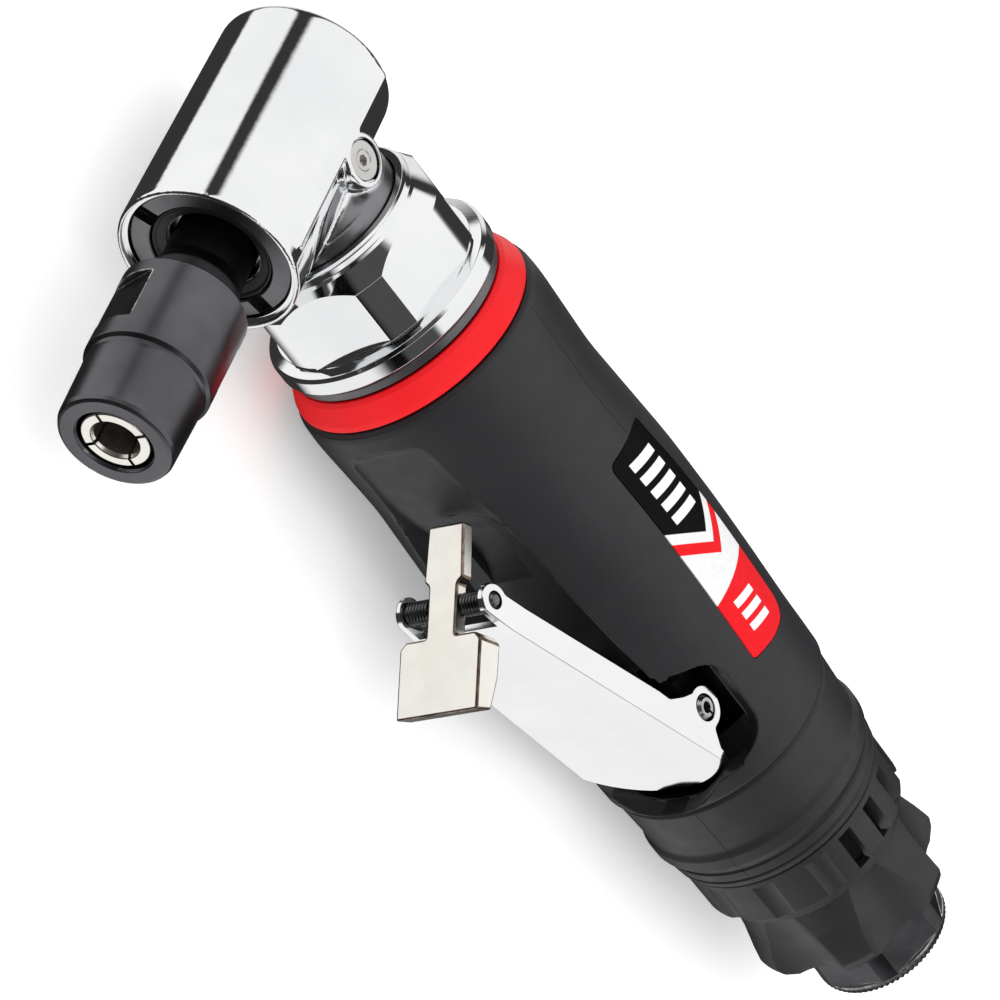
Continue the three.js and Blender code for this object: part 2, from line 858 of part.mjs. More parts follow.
function throttleLever() {
  const blank = sidePlate(leverSide(), -14, 14).intersect(planPlate(leverPlan(0), 0, 40));
  const insideSide = roundedShape([
    [50, 0, 0],
    [120, 0, 0],
    [120, leverOut(120) - LEVER.sheet, 0],
    [50, leverOut(50) - LEVER.sheet, 0],
  ]);
  const inside = sidePlate(insideSide, -14, 14).intersect(planPlate(leverPlan(-LEVER.sheet), -1, 40));
  const frontGap = box(50, 64.5, -40, -15, -6.65, 6.65);
  const rearOpening = box(106, 120, -10, 0, -20, 20);
  const hole = (pin, extra) =>
    turnedZ(rod(-16, 16, pin.r + extra), 20).translate(pin.x, -pin.out, 0);
  return cut(blank, inside, frontGap, rearOpening, hole(LEVER_PIN, GAP), hole(CATCH_PIN, GAP));
}

// The lock-off catch, drawn along its own plate: up runs outwards past the pivot, behind is measured back
// from the pivot's centre. A broad arm stands in the grip's recess, a narrow neck carries the pin and the
// thick paddle is pushed by the finger.
const CATCH = { tip: -11.2, neckFrom: -3.2, paddleFrom: 4.4, armHalf: 3.15, neckHalf: 2.45, paddleHalf: 6.9 };

function lockOffCatch() {
  const lean = new THREE.Vector2(0.46, 0.888);
  const across = new THREE.Vector2(lean.y, -lean.x);
  const at = (up, behind, radius) => [
    CATCH_PIN.x + lean.x * up + across.x * behind,
    CATCH_PIN.out + lean.y * up + across.y * behind,
    radius,
  ];
  const plate = (outline, half) => sidePlate(roundedShape(outline), -half, half);
  const { tip, neckFrom, paddleFrom, neckHalf } = CATCH;
  const arm = plate(
    [at(tip, -1.7, 0.8), at(neckFrom, -1.7, 0), at(neckFrom, 0.45, 0), at(tip, 0.3, 0.8)],
    CATCH.armHalf,
  );
  const neck = plate([at(-4, -1.7, 0), at(5, -1.7, 0), at(5, 0.6, 0), at(-4, 0.45, 0)], neckHalf);
  const paddle = plate(
    [at(paddleFrom, -1.7, 0.5), at(15.2, -1.7, 0.8), at(14.6, 1.2, 0.8), at(paddleFrom, 2.6, 0.8)],
    CATCH.paddleHalf,
  );
  const onPin = (half, radius, sides) =>
    turnedZ(rod(-half, half, radius), sides).translate(CATCH_PIN.x, -CATCH_PIN.out, 0);
  const hub = onPin(neckHalf, 1.7, 24);
  return cut(join(arm, neck, hub, paddle), onPin(4, CATCH_PIN.r + GAP, 16));
}

const pinAt = (pin, half, bore) => {
  const body = bore ? turnedZ(tube(-half, half, pin.r, bore), 20) : turnedZ(rod(-half, half, pin.r), 20);
  return body.translate(pin.x, -pin.out, 0);
};

// A closed outer shape of each torsion spring around the catch pin.
const catchSpring = (z0, z1) =>
  turnedZ(tube(z0, z1, 2.3, CATCH_PIN.r + 0.35), 20).translate(CATCH_PIN.x, -CATCH_PIN.out, 0);

const onValve = (outline, sides = COARSE) => turnedDown(outline, sides).translate(VALVE.x, 0, 0);

const valveBushing = () =>
  onValve([
    [7.4, VALVE.stemR + GAP],
    [7.4, 4.4],
    [9.0, 4.4],
    [9.0, 3.6],
    [10.6, 3.6],
    [10.6, 4.4],
    [13.4, 4.4],
    [13.4, VALVE.stemR + GAP],
  ]);

const valveStem = () =>
  onValve(
    [
      [3.9, 0],
      [3.9, 1.3],
      [5.4, 1.3],
      [5.4, VALVE.seatR],
      [6.8, VALVE.seatR],
      [6.8, VALVE.stemR],
      [VALVE.tip - 0.6, VALVE.stemR],
      [VALVE.tip, VALVE.stemR - 0.5],
      [VALVE.tip, 0],
    ],
    20,
  );

const valveOring = () => onValve(tube(9.25, 10.35, 4.55, 3.75));
const valveSpring = () => onValve(tube(-6.6, 5.1, 3.0, 1.7), 20);

// ---- Assembly ----
add("angle_housing", angleHousing(), CHROME);
add("head_cap", headCap(), DARK_CAP);
add("grease_screw", greaseScrew(), STEEL);
add("spindle", spindle(), BLACK_OXIDE);
add("spindle_bevel_gear", spindleBevelGear(), STEEL);
add("upper_spindle_bearing", ring(true, -12.6, -9.2, UPPER_BEARING_R, 2.9), STEEL);
add("lower_spindle_bearing", ring(true, 10.6, 16.6, HEAD_BORE_R - 0.2, 5.0), STEEL);
add("collet", collet(), NICKEL);
add("collet_nut", colletNut(), BLACK_OXIDE);
add("clamp_nut", clampNut(), CHROME);
add("bevel_pinion", bevelPinion(), STEEL);
add("pinion_bearing", ring(false, 13, 18, 7.6, SHAFT_R + GAP), STEEL);
add("drive_coupling", driveCoupling(), STEEL);
add("clamp_spacer", clampSpacer(), DARK_CAP);
add("red_trim_ring", redTrimRing(), RED);
add("motor_housing", motorHousing(), BLACK_ALLOY);
add("front_end_plate", endPlate(38, 44.5, 37, 42.3), ALLOY);
add("front_rotor_bearing", ring(false, 38.2, 42, 8, SHAFT_R + GAP), STEEL);
add("cylinder_liner", cylinderLiner(), STEEL);
add("rotor", rotor(), STEEL);
for (let i = 0; i < VANES; i++) add("vane_" + (i + 1), vane(i), PHENOLIC);
add("rear_end_plate", endPlate(76.1, 82.6, 78.3, 84), ALLOY);
add("rear_rotor_bearing", ring(false, 78.6, 82.4, 8, SHAFT_R + GAP), STEEL);
add("rubber_grip", rubberGrip(), RUBBER);
add("side_decal", sideDecal(), LABEL);
add("rear_collar", rearCollar(), DARK_PLASTIC);
add("exhaust_muffler", ring(false, 131.6, 139.4, 13.6, 12.7), FELT);
add("exhaust_deflector", exhaustDeflector(), DARK_PLASTIC);
add("regulator_ring", regulatorRing(), DARK_PLASTIC);
add("inlet_bushing", inletBushing(), BLACK_OXIDE);
add("inlet_screen", turnedX(rod(142.3, 143.1, INLET.boreR - GAP), COARSE), STEEL);
add("valve_bushing", valveBushing(), ALLOY);
add("valve_stem", valveStem(), STEEL);
add("valve_oring", valveOring(), SEAL);
add("valve_spring", valveSpring(), SPRING_STEEL);
add("throttle_lever", throttleLever(), CHROME);
add("lever_pin", pinAt(LEVER_PIN, 11.7, 0.8), STEEL);
add("lock_off_catch", lockOffCatch(), NICKEL);
add("catch_pin", pinAt(CATCH_PIN, 7.9, 0), STEEL);
add("catch_spring_right", catchSpring(3.1, 6.3), SPRING_STEEL);
add("catch_spring_left", catchSpring(-6.3, -3.1), SPRING_STEEL);

// Stand the box on Z = 0, centred on the Z axis.
const bounds = new THREE.Box3().setFromObject(tool);
const middle = bounds.getCenter(new THREE.Vector3());
tool.position.set(-middle.x, -middle.y, -bounds.min.z);

export default tool;
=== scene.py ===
"""Right-angle air die grinder: the looks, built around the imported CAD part.

Every piece is drawn in millimetres in the tool's own frame and then moved into the row frame. The
origin of the tool's frame is where the motor axis (X, towards the air inlet) and the spindle axis
cross; "out" is the distance towards the collet (-Y), and +Z is the decal's side.
"""

import math

import bmesh
import bpy
from mathutils import Matrix, Vector


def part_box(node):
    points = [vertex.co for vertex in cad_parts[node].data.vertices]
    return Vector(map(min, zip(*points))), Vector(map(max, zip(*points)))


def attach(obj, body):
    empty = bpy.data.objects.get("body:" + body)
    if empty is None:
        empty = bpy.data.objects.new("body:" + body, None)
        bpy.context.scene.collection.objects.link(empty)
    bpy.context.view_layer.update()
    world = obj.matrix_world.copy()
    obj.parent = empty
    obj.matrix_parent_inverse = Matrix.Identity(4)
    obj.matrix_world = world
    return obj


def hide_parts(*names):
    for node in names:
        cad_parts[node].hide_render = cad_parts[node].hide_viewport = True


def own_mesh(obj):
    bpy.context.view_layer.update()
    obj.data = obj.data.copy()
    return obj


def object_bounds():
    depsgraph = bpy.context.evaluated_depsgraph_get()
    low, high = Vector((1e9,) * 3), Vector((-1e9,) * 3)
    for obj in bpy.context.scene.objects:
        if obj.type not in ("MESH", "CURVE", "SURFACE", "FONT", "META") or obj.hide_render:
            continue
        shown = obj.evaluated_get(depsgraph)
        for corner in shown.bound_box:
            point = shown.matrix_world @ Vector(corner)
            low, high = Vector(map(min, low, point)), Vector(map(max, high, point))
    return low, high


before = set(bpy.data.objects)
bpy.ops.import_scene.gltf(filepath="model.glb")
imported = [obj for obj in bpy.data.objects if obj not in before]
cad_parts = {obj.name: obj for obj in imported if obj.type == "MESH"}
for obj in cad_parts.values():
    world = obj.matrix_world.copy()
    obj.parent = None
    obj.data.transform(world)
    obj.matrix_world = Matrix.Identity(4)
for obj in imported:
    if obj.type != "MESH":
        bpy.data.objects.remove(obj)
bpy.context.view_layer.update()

MM = 0.001

# Sides of the turned pieces, from the small ones to the large ones with fine detail.
COARSE, MEDIUM, FINE, FINEST = 64, 96, 160, 192

# Sizes that several pieces share, in millimetres of the tool's frame.
HEAD_BACK, HEAD_RIM = -15, 21.2  # ends of the head's barrel, out along the spindle
CAST_GRAIN, CAST_SOFTENING = 0.2, 9  # size of the cast skin's facets, and rounds of smoothing
SCREW = (6.2, 0.8, 0)  # axis of the grease screw, along Z
SHANK_HOLE = 3.15  # radius
SLEEVE_BORE = 15.3  # inner radius of the red ring, the grip and the collar
RECESS_FLOOR = 13.55  # distance out of the rubber under the lever
LEVER_PIN = (101, 11.2)  # x, out
CATCH_PIN = (61.3, 26.2)
VALVE = (88, 0, 0)  # axis of the throttle valve, along the out direction
RIM_TEETH = 72  # round the inlet's end


def middle(node):
    low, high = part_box(node)
    return (low + high) / 2


ORIGIN = Vector((middle("spindle").x, middle("rear_collar").y, middle("rear_collar").z))
TO_ROW = Matrix.Translation(ORIGIN) @ Matrix.Scale(MM, 4)


# ---- Outlines ----


def rounded(points, steps=4, closed=True):
    """Corners given as (a, b, radius) become arcs; (a, b) stays sharp."""
    line = []
    count = len(points)
    for i, point in enumerate(points):
        corner = Vector(point[:2])
        radius = point[2] if len(point) > 2 else 0
        if radius <= 0 or (not closed and i in (0, count - 1)):
            line.append(tuple(corner))
            continue
        back = Vector(points[i - 1][:2]) - corner
        ahead = Vector(points[(i + 1) % count][:2]) - corner
        half = back.angle(ahead) / 2
        reach = min(radius / math.tan(half), 0.49 * back.length, 0.49 * ahead.length)
        radius = reach * math.tan(half)
        start = corner + back.normalized() * reach
        centre = corner + (back.normalized() + ahead.normalized()).normalized() * (
            radius / math.sin(half)
        )
        arm = start - centre
        end = corner + ahead.normalized() * reach - centre
        sweep = math.atan2(arm.x * end.y - arm.y * end.x, arm.dot(end))
        for k in range(steps + 1):
            turned = Matrix.Rotation(sweep * k / steps, 2) @ arm
            line.append(tuple(centre + turned))
    return line


def smooth_line(points, steps=6):
    """A Catmull-Rom line through the points."""
    line = []
    for i in range(len(points) - 1):
        p0, p1 = Vector(points[max(i - 1, 0)]), Vector(points[i])
        p2, p3 = Vector(points[i + 1]), Vector(points[min(i + 2, len(points) - 1)])
        square = 2 * p0 - 5 * p1 + 4 * p2 - p3
        cube = 3 * p1 - p0 - 3 * p2 + p3
        for k in range(steps):
            t = k / steps
            line.append(tuple(0.5 * (2 * p1 + (p2 - p0) * t + square * t**2 + cube * t**3)))
    line.append(tuple(points[-1]))
    return line


# ---- Meshes ----


def new_object(name, verts, faces):
    mesh = bpy.data.meshes.new(name)
    mesh.from_pydata([tuple(v) for v in verts], [], faces)
    bm = bmesh.new()
    bm.from_mesh(mesh)
    bmesh.ops.recalc_face_normals(bm, faces=bm.faces)
    bm.to_mesh(mesh)
    bm.free()
    obj = bpy.data.objects.new(name, mesh)
    bpy.context.scene.collection.objects.link(obj)
    return obj


AXES = {
    "x": lambda along, a, b: (along, a, b),
    "down": lambda along, a, b: (a, -along, b),
    "z": lambda along, a, b: (a, b, along),
}


def lathe(name, outline, axis="x", sides=FINE, at=(0, 0, 0), radius_of=None):
    """A turned solid from (along, radius[, corner radius]) points, open on the axis or closed on itself."""
    closed = outline[0][1] > 0 or outline[-1][1] > 0
    line = rounded(outline, closed=closed)
    verts, rings = [], []
    for along, radius in line:
        if radius < 1e-6:
            rings.append([len(verts)])
            verts.append(Vector(AXES[axis](along, 0, 0)) + Vector(at))
            continue
        rings.append(list(range(len(verts), len(verts) + sides)))
        for k in range(sides):
            angle = 2 * math.pi * k / sides
            r = radius_of(radius, angle) if radius_of else radius
            verts.append(
                Vector(AXES[axis](along, r * math.cos(angle), r * math.sin(angle)))
                + Vector(at)
            )
    faces = []
    pairs = list(zip(rings, rings[1:]))
    if closed:
        pairs.append((rings[-1], rings[0]))
    for one, two in pairs:
        for k in range(sides):
            n = (k + 1) % sides
            if len(one) == 1 and len(two) == 1:
                continue
            if len(one) == 1:
                faces.append((one[0], two[k], two[n]))
            elif len(two) == 1:
                faces.append((one[k], one[n], two[0]))
            else:
                faces.append((one[k], one[n], two[n], two[k]))
    return new_object(name, verts, faces)


def rod(name, low, high, radius, axis="x", sides=FINE, at=(0, 0, 0)):
    return lathe(name, [(low, 0), (low, radius), (high, radius), (high, 0)], axis, sides, at)


def cross_pin(pin):
    """The axis of a pin (x, out) that lies across the tool."""
    return (pin[0], -pin[1], 0)


def prism(name, outline, low, high, point_at):
    """An outline extruded from low to high; point_at(a, b, depth) gives each point."""
    line = rounded(outline, steps=6)
    count = len(line)
    verts = [point_at(a, b, depth) for depth in (low, high) for a, b in line]
    faces = [tuple(range(count)), tuple(range(2 * count - 1, count - 1, -1))]
    for k in range(count):
        n = (k + 1) % count
        faces.append((k, n, n + count, k + count))
    return new_object(name, verts, faces)


def side(name, outline, z0, z1):
    """A side view [x, out] extruded across the tool."""
    return prism(name, outline, z0, z1, lambda x, out, z: (x, -out, z))


def plan(name, outline, out0, out1):
    """A plan [x, z] extruded along the out direction."""
    return prism(name, outline, out0, out1, lambda x, z, out: (x, -out, z))


def block(name, x0, x1, out0, out1, z0, z1):
    return side(name, [(x0, out0), (x1, out0), (x1, out1), (x0, out1)], z0, z1)


def loft(name, sections):
    """A solid through sections that have the same number of points."""
    count = len(sections[0])
    verts = [point for section in sections for point in section]
    faces = [tuple(range(count)), tuple(range(len(verts) - 1, len(verts) - count - 1, -1))]
    for start in range(0, len(verts) - count, count):
        for k in range(count):
            n = (k + 1) % count
            faces.append((start + k, start + n, start + n + count, start + k + count))
    return new_object(name, verts, faces)


def around_x(obj, degrees):
    """Turns a piece about the motor axis, from the out direction towards +Z."""
    obj.data.transform(Matrix.Rotation(math.radians(-degrees), 4, "X"))
    return obj


def around_down(obj, degrees):
    """Turns a piece about the spindle axis."""
    obj.data.transform(Matrix.Rotation(math.radians(degrees), 4, "Y"))
    return obj


def coil(name, turns, radius, wire, z0, z1, at, leg=0.0, start=0.0, per_turn=28):
    """A wire coil about Z that ends in a straight leg."""
    path = []
    total = int(turns * per_turn)
    for k in range(total + 1):
        angle = start + 2 * math.pi * k / per_turn
        z = z0 + (z1 - z0) * k / total
        path.append(Vector((radius * math.cos(angle), radius * math.sin(angle), z)))
    if leg:
        way = (path[-1] - path[-2]).normalized()
        way.z = 0
        path += [path[-1] + way * leg * 0.5, path[-1] + way * leg]
    return wire_along(name, [p + Vector(at) for p in path], wire)


def wire_along(name, path, wire, sides=12):
    """A round wire of the radius wire, swept along a path without twisting."""
    verts, faces = [], []
    normal = None
    for i, point in enumerate(path):
        way = (path[min(i + 1, len(path) - 1)] - path[max(i - 1, 0)]).normalized()
        if normal is None:
            normal = way.orthogonal().normalized()
        normal = (normal - way * normal.dot(way)).normalized()
        across = way.cross(normal)
        for k in range(sides):
            angle = 2 * math.pi * k / sides
            verts.append(point + wire * (normal * math.cos(angle) + across * math.sin(angle)))
    for i in range(len(path) - 1):
        for k in range(sides):
            n = (k + 1) % sides
            faces.append((i * sides + k, i * sides + n, (i + 1) * sides + n, (i + 1) * sides + k))
    faces.append(tuple(range(sides)))
    faces.append(tuple(range(len(verts) - 1, len(verts) - sides - 1, -1)))
    return new_object(name, verts, faces)


def apply_modifiers(obj):
    bpy.context.view_layer.update()
    depsgraph = bpy.context.evaluated_depsgraph_get()
    mesh = bpy.data.meshes.new_from_object(obj.evaluated_get(depsgraph))
    old = obj.data
    obj.modifiers.clear()
    obj.data = mesh
    bpy.data.meshes.remove(old)
    return obj


def boolean(obj, operation, *others, solver="MANIFOLD"):
    for other in others:
        modifier = obj.modifiers.new("boolean", "BOOLEAN")
        modifier.operation = operation
        modifier.object = other
        modifier.solver = solver
        apply_modifiers(obj)
        mesh = other.data
        bpy.data.objects.remove(other)
        bpy.data.meshes.remove(mesh)
    return obj


def cut(obj, *others, solver="MANIFOLD"):
    return boolean(obj, "DIFFERENCE", *others, solver=solver)


def cut_around(obj, angles, make_tool):
    """Cuts the same shape away at each angle about the motor axis."""
    for angle in angles:
        cut(obj, around_x(make_tool(), angle))


def join(obj, *others):
    return boolean(obj, "UNION", *others)


def common(obj, *others):
    return boolean(obj, "INTERSECT", *others)


def merge_slivers(obj, distance):
    """Merges the slivers that booleans leave, so that edges can be rounded."""
    bm = bmesh.new()
    bm.from_mesh(obj.data)
    bmesh.ops.remove_doubles(bm, verts=bm.verts, dist=distance)
    bmesh.ops.dissolve_limit(
        bm,
        angle_limit=math.radians(0.4),
        use_dissolve_boundaries=False,
        verts=bm.verts,
        edges=bm.edges,
        delimit={"NORMAL"},
    )
    bm.to_mesh(obj.data)
    bm.free()
    return obj


def round_edges(obj, width, segments=3, angle=28, own_finish=False, merge=0.004, clamp=True):
    """Rounds the edges; with own_finish the rounded faces take the piece's second finish."""
    merge_slivers(obj, merge)
    if own_finish:
        obj.data.materials.clear()
        obj.data.materials.append(None)
        obj.data.materials.append(None)
    modifier = obj.modifiers.new("bevel", "BEVEL")
    modifier.material = 1 if own_finish else -1
    modifier.width = width
    modifier.segments = segments
    modifier.limit_method = "ANGLE"
    modifier.angle_limit = math.radians(angle)
    modifier.use_clamp_overlap = clamp
    modifier.miter_outer = "MITER_ARC"
    return apply_modifiers(obj)


def melt(obj, voxel, rounds, factor=0.5):
    """Turns a joined solid into one cast skin with soft inner and outer corners."""
    modifier = obj.modifiers.new("remesh", "REMESH")
    modifier.mode = "VOXEL"
    modifier.voxel_size = voxel
    apply_modifiers(obj)
    modifier = obj.modifiers.new("smooth", "SMOOTH")
    modifier.factor = factor
    modifier.iterations = rounds
    return apply_modifiers(obj)


def place(obj, body, slot_name, nodes=(), sharp=None, finish=None, edge_finish=None):
    """Moves a finished piece into the row frame and hangs it on its body."""
    for polygon in obj.data.polygons:
        polygon.use_smooth = True
    if sharp:
        obj.data.set_sharp_from_angle(angle=math.radians(sharp))
    modifier = obj.modifiers.new("normals", "WEIGHTED_NORMAL")
    modifier.keep_sharp = True
    modifier.weight = 60
    apply_modifiers(obj)
    obj.data.transform(TO_ROW)
    if edge_finish:
        obj.data.materials[0] = finish or FINISHES[slot_name]
        obj.data.materials[1] = edge_finish
    else:
        obj.data.materials.clear()
        obj.data.materials.append(finish or FINISHES[slot_name])
    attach(obj, body)
    if nodes:
        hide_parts(*nodes)
    return obj


# ---- Materials ----


class Nodes:
    """Short names for building one node tree."""

    def __init__(self, tree):
        self.tree = tree
        tree.nodes.clear()

    def add(self, kind, inputs=None, **settings):
        node = self.tree.nodes.new(kind)
        for key, value in settings.items():
            setattr(node, key, value)
        for key, value in (inputs or {}).items():
            if isinstance(value, bpy.types.NodeSocket):
                self.tree.links.new(value, node.inputs[key])
            else:
                node.inputs[key].default_value = value
        return node

    def place_coordinates(self, stretch=(1, 1, 1)):
        coordinates = self.add("ShaderNodeTexCoord").outputs["Object"]
        inputs = {"Vector": coordinates, "Scale": stretch}
        return self.add("ShaderNodeMapping", inputs).outputs["Vector"]

    def tool_millimetres(self):
        """x, y and z of the point in the tool's own frame."""
        where = self.add("ShaderNodeTexCoord").outputs["Object"]
        parts = self.add("ShaderNodeSeparateXYZ", {0: where}).outputs
        return [
            self.math("MULTIPLY", self.math("SUBTRACT", parts[i], ORIGIN[i]), 1 / MM)
            for i in range(3)
        ]

    def length(self, one, two):
        squares = [self.math("MULTIPLY", value, value) for value in (one, two)]
        return self.math("SQRT", self.math("ADD", *squares))

    def noise(self, scale, stretch=(1, 1, 1), detail=4.0, roughness=0.55):
        where = self.place_coordinates(stretch)
        inputs = {"Vector": where, "Scale": scale, "Detail": detail, "Roughness": roughness}
        return self.add("ShaderNodeTexNoise", inputs).outputs["Fac"]

    def spread(self, value, low, high, to_low=0.0, to_high=1.0, smooth=False):
        return self.add(
            "ShaderNodeMapRange",
            {0: value, 1: low, 2: high, 3: to_low, 4: to_high},
            interpolation_type="SMOOTHSTEP" if smooth else "LINEAR",
        ).outputs[0]

    def math(self, operation, one, two=0.0):
        return self.add("ShaderNodeMath", {0: one, 1: two}, operation=operation).outputs[0]

    def mix(self, share, one, two):
        return self.add("ShaderNodeMix", {0: share, 6: one, 7: two}, data_type="RGBA").outputs[2]

    def bump(self, height, strength, distance, onto=None):
        inputs = {"Height": height, "Strength": strength, "Distance": distance}
        if onto is not None:
            inputs["Normal"] = onto
        return self.add("ShaderNodeBump", inputs).outputs["Normal"]


def rgb(r, g, b):
    return (r, g, b, 1.0)


def shader(nodes, color, roughness, normal=None, **fixed):
    """A Principled shader; fixed values are set on its own sockets."""
    inputs = {"Base Color": color, "Roughness": roughness}
    if normal is not None:
        inputs["Normal"] = normal
    inputs.update(fixed)
    surface = nodes.add("ShaderNodeBsdfPrincipled", inputs)
    nodes.add("ShaderNodeOutputMaterial", {"Surface": surface.outputs[0]})


def material(name):
    made = bpy.data.materials.new(name)
    made.use_nodes = True
    return made, Nodes(made.node_tree)


# Heights of the relief in a metal's skin, in metres.
MARK_HEIGHT = 0.00002
WAVE_HEIGHT = 0.0004

CHROME_DARK, CHROME_LIGHT = (0.86, 0.87, 0.88), (0.93, 0.935, 0.94)
CHROME_SKIN = {
    "rough": (0.035, 0.08), "grain": 1600.0, "stretch": (0.4, 5, 0.4), "depth": 0.02, "wave": 0.03,
}


def worn_edges(nodes, low=0.53, high=0.6):
    """Bright where an edge stands out, broken up by grain."""
    edge = nodes.add("ShaderNodeNewGeometry").outputs["Pointiness"]
    mask = nodes.spread(edge, low, high, smooth=True)
    return nodes.math("MULTIPLY", mask, nodes.spread(nodes.noise(900.0), 0.4, 0.62))


def polished_skin(nodes, rough, grain, stretch, depth, wave):
    """A varying gloss, and a normal with fine polishing marks over slow waves."""
    gloss = nodes.spread(nodes.noise(220.0, stretch, detail=5.0), 0.3, 0.7, *rough)
    normal = nodes.bump(nodes.noise(grain, stretch, detail=3.0), depth, MARK_HEIGHT)
    if wave:
        waves = nodes.noise(120.0, stretch, detail=1.5)
        normal = nodes.bump(waves, wave, WAVE_HEIGHT, normal)
    return gloss, normal


def metal(
    name, dark, light, rough, grain=2500.0, stretch=(1, 1, 1), depth=0.05, wave=0.0, wear=None,
    patches=70.0,
):
    """Bare or plated metal: a slow tone change under a polished skin."""
    made, nodes = material(name)
    tone = nodes.spread(nodes.noise(patches, detail=3.0), 0.35, 0.65)
    color = nodes.mix(tone, rgb(*dark), rgb(*light))
    if wear:
        color = nodes.mix(worn_edges(nodes), color, rgb(*wear))
    gloss, normal = polished_skin(nodes, rough, grain, stretch, depth, wave)
    shader(nodes, color, gloss, normal, Metallic=1.0)
    return made


def cast_head():
    """The head's polished barrel and its darker, duller cast neck, in one finish."""
    made, nodes = material("cast_head")
    x, y, z = nodes.tool_millimetres()
    from_spindle = nodes.length(x, z)
    from_screw = nodes.length(
        nodes.math("SUBTRACT", x, SCREW[0]), nodes.math("SUBTRACT", y, SCREW[1])
    )
    outside_barrel = nodes.spread(from_spindle, 12.6, 13.2, smooth=True)
    before_flange = nodes.spread(x, 16.6, 16.4)
    outside_boss = nodes.spread(from_screw, 3.9, 4.5)
    neck = nodes.math("MULTIPLY", outside_barrel, before_flange)
    neck = nodes.math("MULTIPLY", neck, outside_boss)
    tone = nodes.spread(nodes.noise(70.0, detail=3.0), 0.35, 0.65)
    polished = nodes.mix(tone, rgb(*CHROME_DARK), rgb(*CHROME_LIGHT))
    dull = nodes.mix(tone, rgb(0.20, 0.20, 0.21), rgb(0.30, 0.30, 0.31))
    fine, normal = polished_skin(nodes, **CHROME_SKIN)
    gloss = nodes.math("ADD", fine, nodes.math("MULTIPLY", neck, 0.24))
    shader(nodes, nodes.mix(neck, polished, dull), gloss, normal, Metallic=1.0)
    return made


def moulded(name, dark, light, rough, grain=3800.0, depth=0.35, distance=0.00006, speck=0.0, **fixed):
    """Moulded rubber or plastic: a fine pebbled skin over a slow tone change."""
    made, nodes = material(name)
    tone = nodes.spread(nodes.noise(45.0, detail=4.0), 0.3, 0.7)
    color = nodes.mix(tone, rgb(*dark), rgb(*light))
    if speck:
        dust = nodes.spread(nodes.noise(5200.0, detail=2.0), 0.66, 0.74)
        color = nodes.mix(nodes.math("MULTIPLY", dust, speck), color, rgb(0.25, 0.25, 0.27))
    fine = nodes.noise(grain, detail=3.0, roughness=0.6)
    slow = nodes.noise(300.0, detail=2.0)
    normal = nodes.bump(fine, depth, distance, nodes.bump(slow, 0.08, 0.0002))
    shader(nodes, color, nodes.spread(slow, 0.3, 0.7, *rough), normal, **fixed)
    return made


def decal_film():
    """Printed film: black ending in a chevron, a pale band, red at the rear, and plain slanted stripes."""
    made, nodes = material("decal_film")
    x, y, _ = nodes.tool_millimetres()

    def edge(value, at, soft=0.06):
        return nodes.spread(value, at - soft, at + soft)

    above = nodes.math("SUBTRACT", y, DECAL["tip_y"])
    upper = nodes.math("MULTIPLY", nodes.math("MAXIMUM", above, 0.0), DECAL["upper_slant"])
    lower = nodes.math("MULTIPLY", nodes.math("MINIMUM", above, 0.0), -DECAL["lower_slant"])
    chevron = nodes.math("ADD", x, nodes.math("ADD", upper, lower))
    slanted = nodes.math("ADD", x, nodes.math("MULTIPLY", y, -0.3))
    grain = nodes.spread(nodes.noise(1500.0), 0.3, 0.7)
    black_ink = nodes.mix(grain, rgb(0.0012, 0.0012, 0.0014), rgb(0.003, 0.003, 0.003))
    pale_ink = nodes.mix(grain, rgb(0.70, 0.71, 0.71), rgb(0.80, 0.81, 0.81))
    red_ink = nodes.mix(grain, rgb(0.70, 0.008, 0.013), rgb(0.77, 0.012, 0.018))
    color = nodes.mix(edge(chevron, DECAL["tip_x"]), black_ink, pale_ink)
    for start, width in DECAL["chevrons"]:
        band = nodes.math("SUBTRACT", edge(chevron, start), edge(chevron, start + width))
        color = nodes.mix(band, color, red_ink)
    color = nodes.mix(edge(x, DECAL["red"]), color, red_ink)
    for start, width, low, high in DECAL["stripes"]:
        along = nodes.math("SUBTRACT", edge(slanted, start), edge(slanted, start + width))
        within = nodes.math("SUBTRACT", edge(y, low), edge(y, high))
        color = nodes.mix(nodes.math("MULTIPLY", along, within), color, rgb(0.92, 0.92, 0.92))
    normal = nodes.bump(nodes.noise(900.0, detail=2.0), 0.03, 0.0001)
    gloss = nodes.spread(nodes.noise(400.0), 0.3, 0.7, 0.42, 0.5)
    shader(nodes, color, gloss, normal, **{"Specular IOR Level": 0.06})
    return made


# The film's layout: x runs along the tool and y across it, in millimetres.
DECAL = {
    "tip_x": 81.0,
    "tip_y": 2.0,
    "upper_slant": 0.6,
    "lower_slant": 0.98,
    "chevrons": [(83.0, 2.2)],
    "red": 88.9,
    # start, width, lowest y, highest y
    "stripes": [(64.2 + 2.6 * k, 1.5, -1.8, 4.3) for k in range(5)]
    + [(91.6 + 2.3 * k, 1.3, -2.0, 2.8) for k in range(3)],
}

